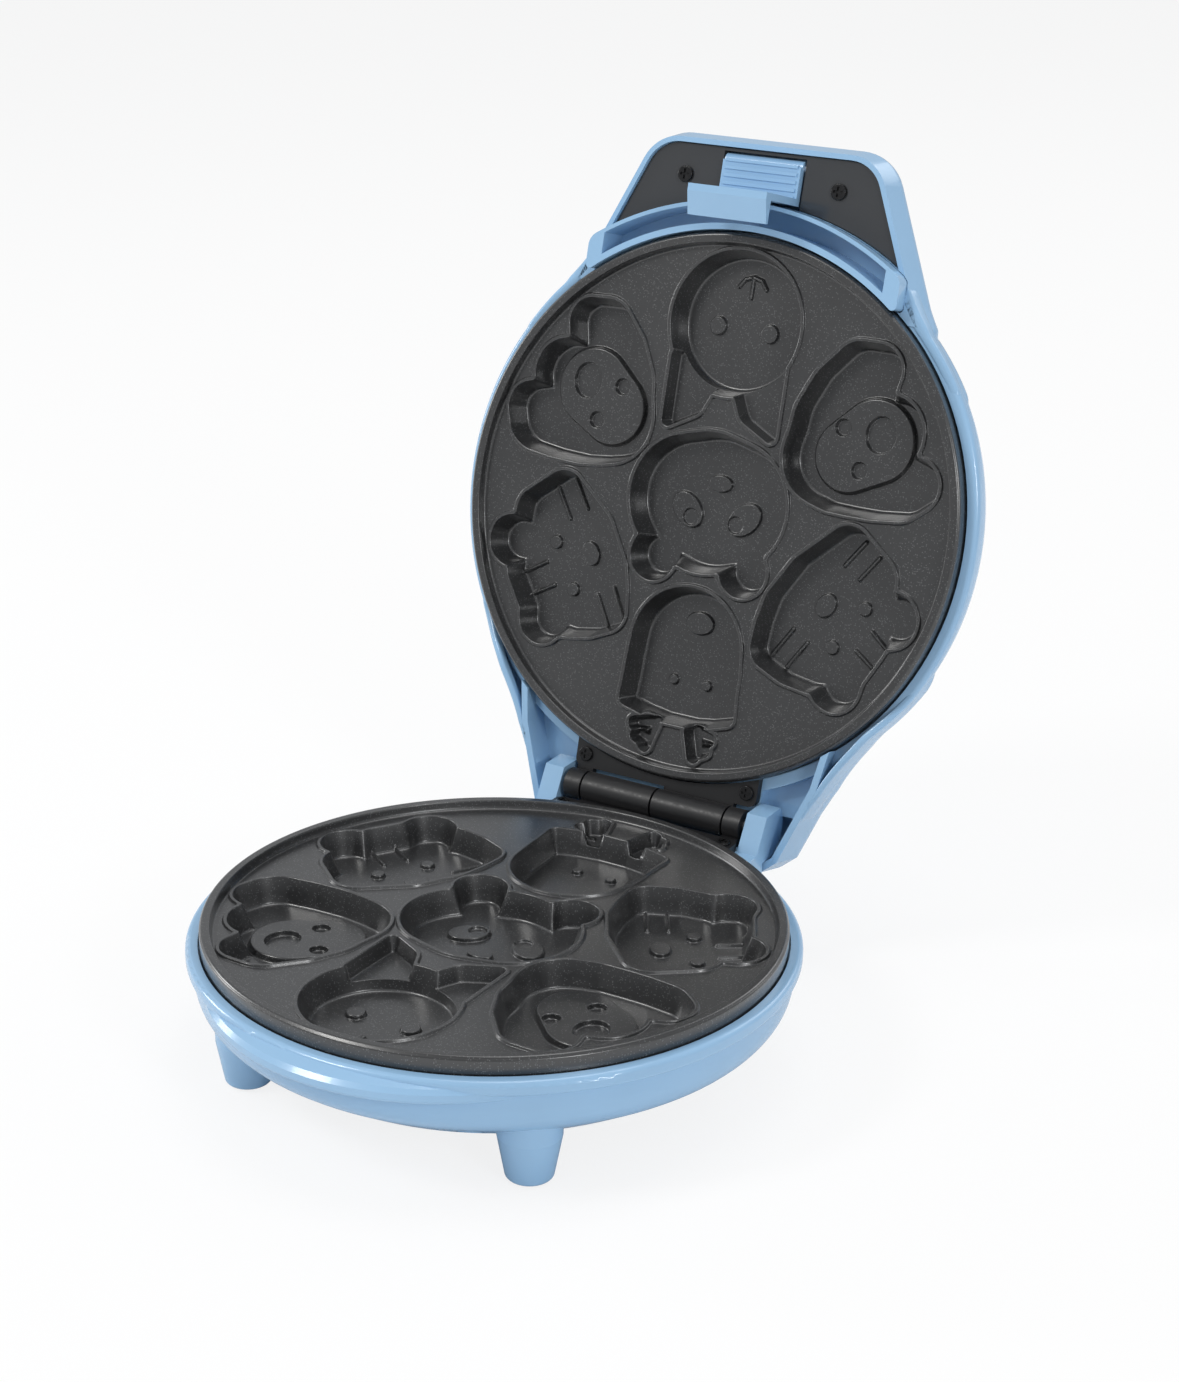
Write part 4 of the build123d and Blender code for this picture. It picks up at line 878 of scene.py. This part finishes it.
def coating(name, finish):
    """Speckled non-stick coating on cast aluminium."""
    material, shader, effect = new_material(name, speckle_group(), fleck_size=0.00055,
                                            fleck_share=0.3)
    tone = map_value(material, effect.outputs["Tone"], 0.0, 1.0)
    base = mix_colour(material, tone, tinted(finish.coating_colour, 0.9),
                      tinted(finish.coating_colour, 1.12))
    flecks = map_value(material, effect.outputs["Flecks"], 0.0, 0.42, 0.0, 1.0)
    material.node_tree.links.new(mix_colour(material, flecks, base, finish.fleck_colour),
                                 shader.inputs["Base Color"])
    material.node_tree.links.new(map_value(material, effect.outputs["Tone"], 0.3, 0.38),
                                 shader.inputs["Roughness"])
    shader.inputs["Specular IOR Level"].default_value = 0.62
    shader.inputs["Coat Weight"].default_value = 1.0
    shader.inputs["Coat Roughness"].default_value = 0.26
    add_bump(material, shader, effect.outputs["Height"], 0.45, 0.00005)
    return material


def metal(name, colour, low, high, metallic=1.0):
    """Turned, pressed or cast metal with fine uneven gloss."""
    material, shader, effect = uneven_material(name, colour, 0.88, 1.08, (low, high),
                                               wave_size=0.012, scuff_size=0.0011)
    shader.inputs["Metallic"].default_value = metallic
    add_bump(material, shader, effect.outputs["Height"], 0.35, 0.00004)
    return material


def dress_node(node, material):
    """Gives a carried-over node its material."""
    mesh = frame["nodes"][node].data
    mesh.materials.clear()
    mesh.materials.append(material)


def dress_nodes(material, *starts):
    """Gives a material to the carried-over nodes whose names start as given."""
    for node in frame["nodes"]:
        if node.startswith(starts):
            dress_node(node, material)


# Operators
class COOKIEMAKER_OT_cook_plates(bpy.types.Operator):
    """Builds both cooking plates with their seven animal faces"""

    bl_idname = "cookie_maker.cook_plates"
    bl_label = "Cooking Plates"

    def execute(self, context):
        points, triangles, quads, normals = plate_surface(context.scene.cookie_maker_plates)
        coat = coating("Speckled non-stick coating", context.scene.cookie_maker_finish)
        low = points + np.array([0, 0, MATING_HEIGHT / MM])
        new_piece("lower_plate_face", frame_place(low), triangles.tolist() + quads.tolist(), coat,
                  "base", "lower_cook_plate", frame_turn(normals))
        flip = np.array([1, 1, -1])
        high = points * flip + np.array([0, 0, LID_BASE / MM])
        new_piece("upper_plate_face", frame_place(high, True),
                  triangles[:, ::-1].tolist() + quads[:, ::-1].tolist(), coat,
                  "lid", "upper_cook_plate", frame_turn(normals * flip, True))
        return {"FINISHED"}


class COOKIEMAKER_OT_housings(bpy.types.Operator):
    """Finishes the base, the feet, the lid, the collar and the latch in gloss plastic, and
    builds the walls that run from the lid's round shell into its grip and its tail"""

    bl_idname = "cookie_maker.housings"
    bl_label = "Housings"

    def execute(self, context):
        blue = plastic("Pastel blue plastic", context.scene.cookie_maker_finish.housing_colour,
                       0.2, 0.26, coat=0.3, grain=0.0)
        dress_nodes(blue, "lower_housing", "upper_housing", "grip_collar", "foot_front",
                    "foot_rear")
        dress_node("latch", blue)
        along = np.linspace(0, 1, BLEND_COLUMNS)
        ease = np.clip((along - DROP_START) / DROP_SPAN, 0, 1)
        ease = ease * ease * (3 - 2 * ease)
        sink = END_SINK * np.maximum(1 - np.minimum(along, 1 - along) / END_SHARE, 0) ** 2
        for name, first, last, drop, high, wall, tail in LID_BLENDS:
            turns = np.radians(first + (last - first) * along)
            points = lid_wall(turns, BLEND_BOTTOM - drop * ease, high, wall, sink, tail)
            faces = grid_faces(*points.shape[:2], False)
            for side, word in ((1, "right"), (-1, "left")):
                placed = points.reshape(-1, 3) * (side, 1, 1) + (0, 0, LID_BASE / MM)
                turned = (side > 0) != tail
                new_piece("lid_%s_blend_%s" % (name, word), frame_place(placed, True),
                          (faces[:, ::-1] if turned else faces).tolist(), blue, "lid")
        return {"FINISHED"}


class COOKIEMAKER_OT_grip(bpy.types.Operator):
    """Finishes the grip's dark insert, its screws and those of the hinge"""

    bl_idname = "cookie_maker.grip"
    bl_label = "Grip"

    def execute(self, context):
        finish = context.scene.cookie_maker_finish
        dress_node("grip_insert",
                   plastic("Glossy dark insert", finish.insert_colour, 0.1, 0.2, coat=0.4))
        dress_nodes(metal("Blackened screws", finish.hinge_colour, 0.22, 0.36, metallic=0.4),
                    "grip_screw", "lower_hinge_screw", "upper_hinge_screw")
        return {"FINISHED"}


class COOKIEMAKER_OT_hinge(bpy.types.Operator):
    """Finishes the hinge's castings, the pins, and the plates' screws and studs"""

    bl_idname = "cookie_maker.hinge"
    bl_label = "Hinge"

    def execute(self, context):
        black = context.scene.cookie_maker_finish.hinge_colour
        dress_nodes(metal("Satin black casting", black, 0.36, 0.5, metallic=0.0),
                    "lower_hinge_bracket", "upper_hinge_bracket")
        dress_nodes(metal("Plain steel", (0.6, 0.6, 0.62), 0.28, 0.42),
                    "hinge_pin", "latch_pin", "lower_plate_screw", "upper_plate_stud")
        return {"FINISHED"}


class COOKIEMAKER_OT_base_fittings(bpy.types.Operator):
    """Finishes the feet's pads, the gland, the lenses and what lies inside"""

    bl_idname = "cookie_maker.base_fittings"
    bl_label = "Fittings"

    def execute(self, context):
        dress_nodes(plastic("Dark rubber", (0.02, 0.02, 0.021), 0.6, 0.75, grain=0.00006),
                    "foot_pad", "cord_gland")
        dress_nodes(metal("Pressed aluminium", (0.75, 0.75, 0.76), 0.3, 0.45),
                    "lower_heat_shield", "upper_heat_shield")
        dress_nodes(metal("Heater sheath", (0.3, 0.3, 0.31), 0.35, 0.5),
                    "lower_element", "upper_element", "thermal_fuse")
        dress_nodes(plastic("Pale ceramic", (0.8, 0.78, 0.72), 0.4, 0.55),
                    "thermostat", "terminal_block")
        dress_nodes(plastic("Lens plastic", (0.55, 0.05, 0.03), 0.08, 0.14, coat=0.5),
                    "indicator_lens")
        return {"FINISHED"}


class COOKIEMAKER_OT_stage(bpy.types.Operator):
    """Sets the floor, the lamps, the world and the camera"""

    bl_idname = "cookie_maker.stage"
    bl_label = "Stage"

    def execute(self, context):
        stage = context.scene.cookie_maker_stage
        self.floor(stage)
        self.lamps(context, stage)
        self.camera(context, stage)
        context.scene.view_settings.view_transform = "Standard"
        return {"FINISHED"}

    def floor(self, stage):
        """A level disc of rings round its middle, which the camera sees almost white."""
        r = np.concatenate([[0.001], np.linspace(0.2, 6.0, 40)])
        turn = np.linspace(0, 2 * math.pi, FLOOR_POINTS, endpoint=False)
        points = np.stack([r[:, None] * np.cos(turn), r[:, None] * np.sin(turn),
                           np.full((len(r), FLOOR_POINTS), FLOOR_HEIGHT)], -1).reshape(-1, 3)
        middle = tuple(range(FLOOR_POINTS - 1, -1, -1))
        material = bpy.data.materials.new("Pale studio floor")
        material.use_nodes = True
        nodes, link = material.node_tree.nodes, material.node_tree.links.new
        shader = nodes["Principled BSDF"]
        shader.inputs["Base Color"].default_value = (*stage.floor_colour, 1.0)
        shader.inputs["Roughness"].default_value = 0.9
        shader.inputs["Specular IOR Level"].default_value = 0.1
        glow = nodes.new("ShaderNodeEmission")
        glow.inputs["Strength"].default_value = 1.0
        rays = nodes.new("ShaderNodeLightPath")
        share = nodes.new("ShaderNodeMath")
        share.operation = "MULTIPLY"
        share.inputs[1].default_value = FLOOR_GLOW
        link(rays.outputs["Is Camera Ray"], share.inputs[0])
        mix = nodes.new("ShaderNodeMixShader")
        link(share.outputs[0], mix.inputs[0])
        link(shader.outputs[0], mix.inputs[1])
        link(glow.outputs[0], mix.inputs[2])
        link(mix.outputs[0], nodes["Material Output"].inputs["Surface"])
        mesh = bpy.data.meshes.new("studio_floor")
        mesh.from_pydata(points.tolist(), [],
                         grid_faces(len(r), FLOOR_POINTS).tolist() + [middle])
        mesh.materials.append(material)
        ground = bpy.data.objects.new("studio_floor", mesh)
        bpy.context.scene.collection.objects.link(ground)

    def lamps(self, context, stage):
        """The studio lamps, and a world that is white to the camera and plain elsewhere."""
        for name, place, size, power, colour in LAMPS:
            data = bpy.data.lights.new(name, "AREA")
            data.size = size
            data.energy = power * stage.lamp_strength
            data.color = colour
            lamp = bpy.data.objects.new(name, data)
            lamp.location = place
            aim = Vector(LAMP_TARGET) - Vector(place)
            lamp.rotation_euler = aim.to_track_quat("-Z", "Y").to_euler()
            context.scene.collection.objects.link(lamp)
        world = context.scene.world or bpy.data.worlds.new("Studio")
        context.scene.world = world
        world.use_nodes = True
        nodes, link = world.node_tree.nodes, world.node_tree.links.new
        nodes.clear()
        plain = nodes.new("ShaderNodeBackground")
        plain.inputs["Color"].default_value = (0.95, 0.97, 1.0, 1.0)
        plain.inputs["Strength"].default_value = 0.5
        white = nodes.new("ShaderNodeBackground")
        white.inputs["Color"].default_value = (1.0, 1.0, 1.0, 1.0)
        white.inputs["Strength"].default_value = 1.0
        rays = nodes.new("ShaderNodeLightPath")
        mix = nodes.new("ShaderNodeMixShader")
        out = nodes.new("ShaderNodeOutputWorld")
        link(rays.outputs["Is Camera Ray"], mix.inputs[0])
        link(plain.outputs[0], mix.inputs[1])
        link(white.outputs[0], mix.inputs[2])
        link(mix.outputs[0], out.inputs["Surface"])

    def camera(self, context, stage):
        """The camera at the fitted place, turned by the fitted angles."""
        data = bpy.data.cameras.new("view")
        data.lens = stage.lens
        data.sensor_width = 36.0
        data.shift_x, data.shift_y = PICTURE_SHIFT
        azimuth, elevation, roll = (math.radians(v) for v in (AZIMUTH, ELEVATION, ROLL))
        back = Vector((math.sin(azimuth) * math.cos(elevation),
                       -math.cos(azimuth) * math.cos(elevation), math.sin(elevation)))
        level = Vector((math.cos(azimuth), math.sin(azimuth), 0))
        upright = back.cross(level)
        right = level * math.cos(roll) + upright * math.sin(roll)
        up = back.cross(right)
        camera = bpy.data.objects.new("view", data)
        turn = Matrix((right, up, back)).transposed().to_4x4()
        place = Vector(CAMERA_PLACE) * MM + Vector((0, PLATE_MIDDLE_Y, 0))
        camera.matrix_world = Matrix.Translation(place) @ turn
        context.scene.collection.objects.link(camera)
        context.scene.camera = camera


class COOKIEMAKER_PT_panel(bpy.types.Panel):
    """Settings and steps of the cookie maker"""

    bl_label = "Cookie Maker"
    bl_idname = "COOKIEMAKER_PT_panel"
    bl_space_type = "VIEW_3D"
    bl_region_type = "UI"
    bl_category = "Cookie Maker"

    def draw(self, context):
        """Lists the settings in a box for each group, then the steps."""
        for title, group in (("Plates", context.scene.cookie_maker_plates),
                             ("Finish", context.scene.cookie_maker_finish),
                             ("Stage", context.scene.cookie_maker_stage)):
            box = self.layout.box()
            box.label(text=title)
            for key in group.__annotations__:
                box.prop(group, key)
        for step in STEPS:
            self.layout.operator(step.bl_idname)


SETTINGS = (CookieMakerPlates, CookieMakerFinish, CookieMakerStage)
STEPS = (COOKIEMAKER_OT_cook_plates, COOKIEMAKER_OT_housings, COOKIEMAKER_OT_grip,
         COOKIEMAKER_OT_hinge, COOKIEMAKER_OT_base_fittings, COOKIEMAKER_OT_stage)


def register():
    """Registers the classes and hangs the settings on the scene."""
    for cls in (*SETTINGS, *STEPS, COOKIEMAKER_PT_panel):
        bpy.utils.register_class(cls)
    bpy.types.Scene.cookie_maker_plates = PointerProperty(type=CookieMakerPlates)
    bpy.types.Scene.cookie_maker_finish = PointerProperty(type=CookieMakerFinish)
    bpy.types.Scene.cookie_maker_stage = PointerProperty(type=CookieMakerStage)


def unregister():
    """Takes the settings and the classes away again."""
    del bpy.types.Scene.cookie_maker_stage
    del bpy.types.Scene.cookie_maker_finish
    del bpy.types.Scene.cookie_maker_plates
    for cls in reversed((*SETTINGS, *STEPS, COOKIEMAKER_PT_panel)):
        bpy.utils.unregister_class(cls)


def main():
    """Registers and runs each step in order."""
    register()
    bpy.ops.cookie_maker.cook_plates()
    bpy.ops.cookie_maker.housings()
    bpy.ops.cookie_maker.grip()
    bpy.ops.cookie_maker.hinge()
    bpy.ops.cookie_maker.base_fittings()
    bpy.ops.cookie_maker.stage()


if __name__ == "__main__":
    main()
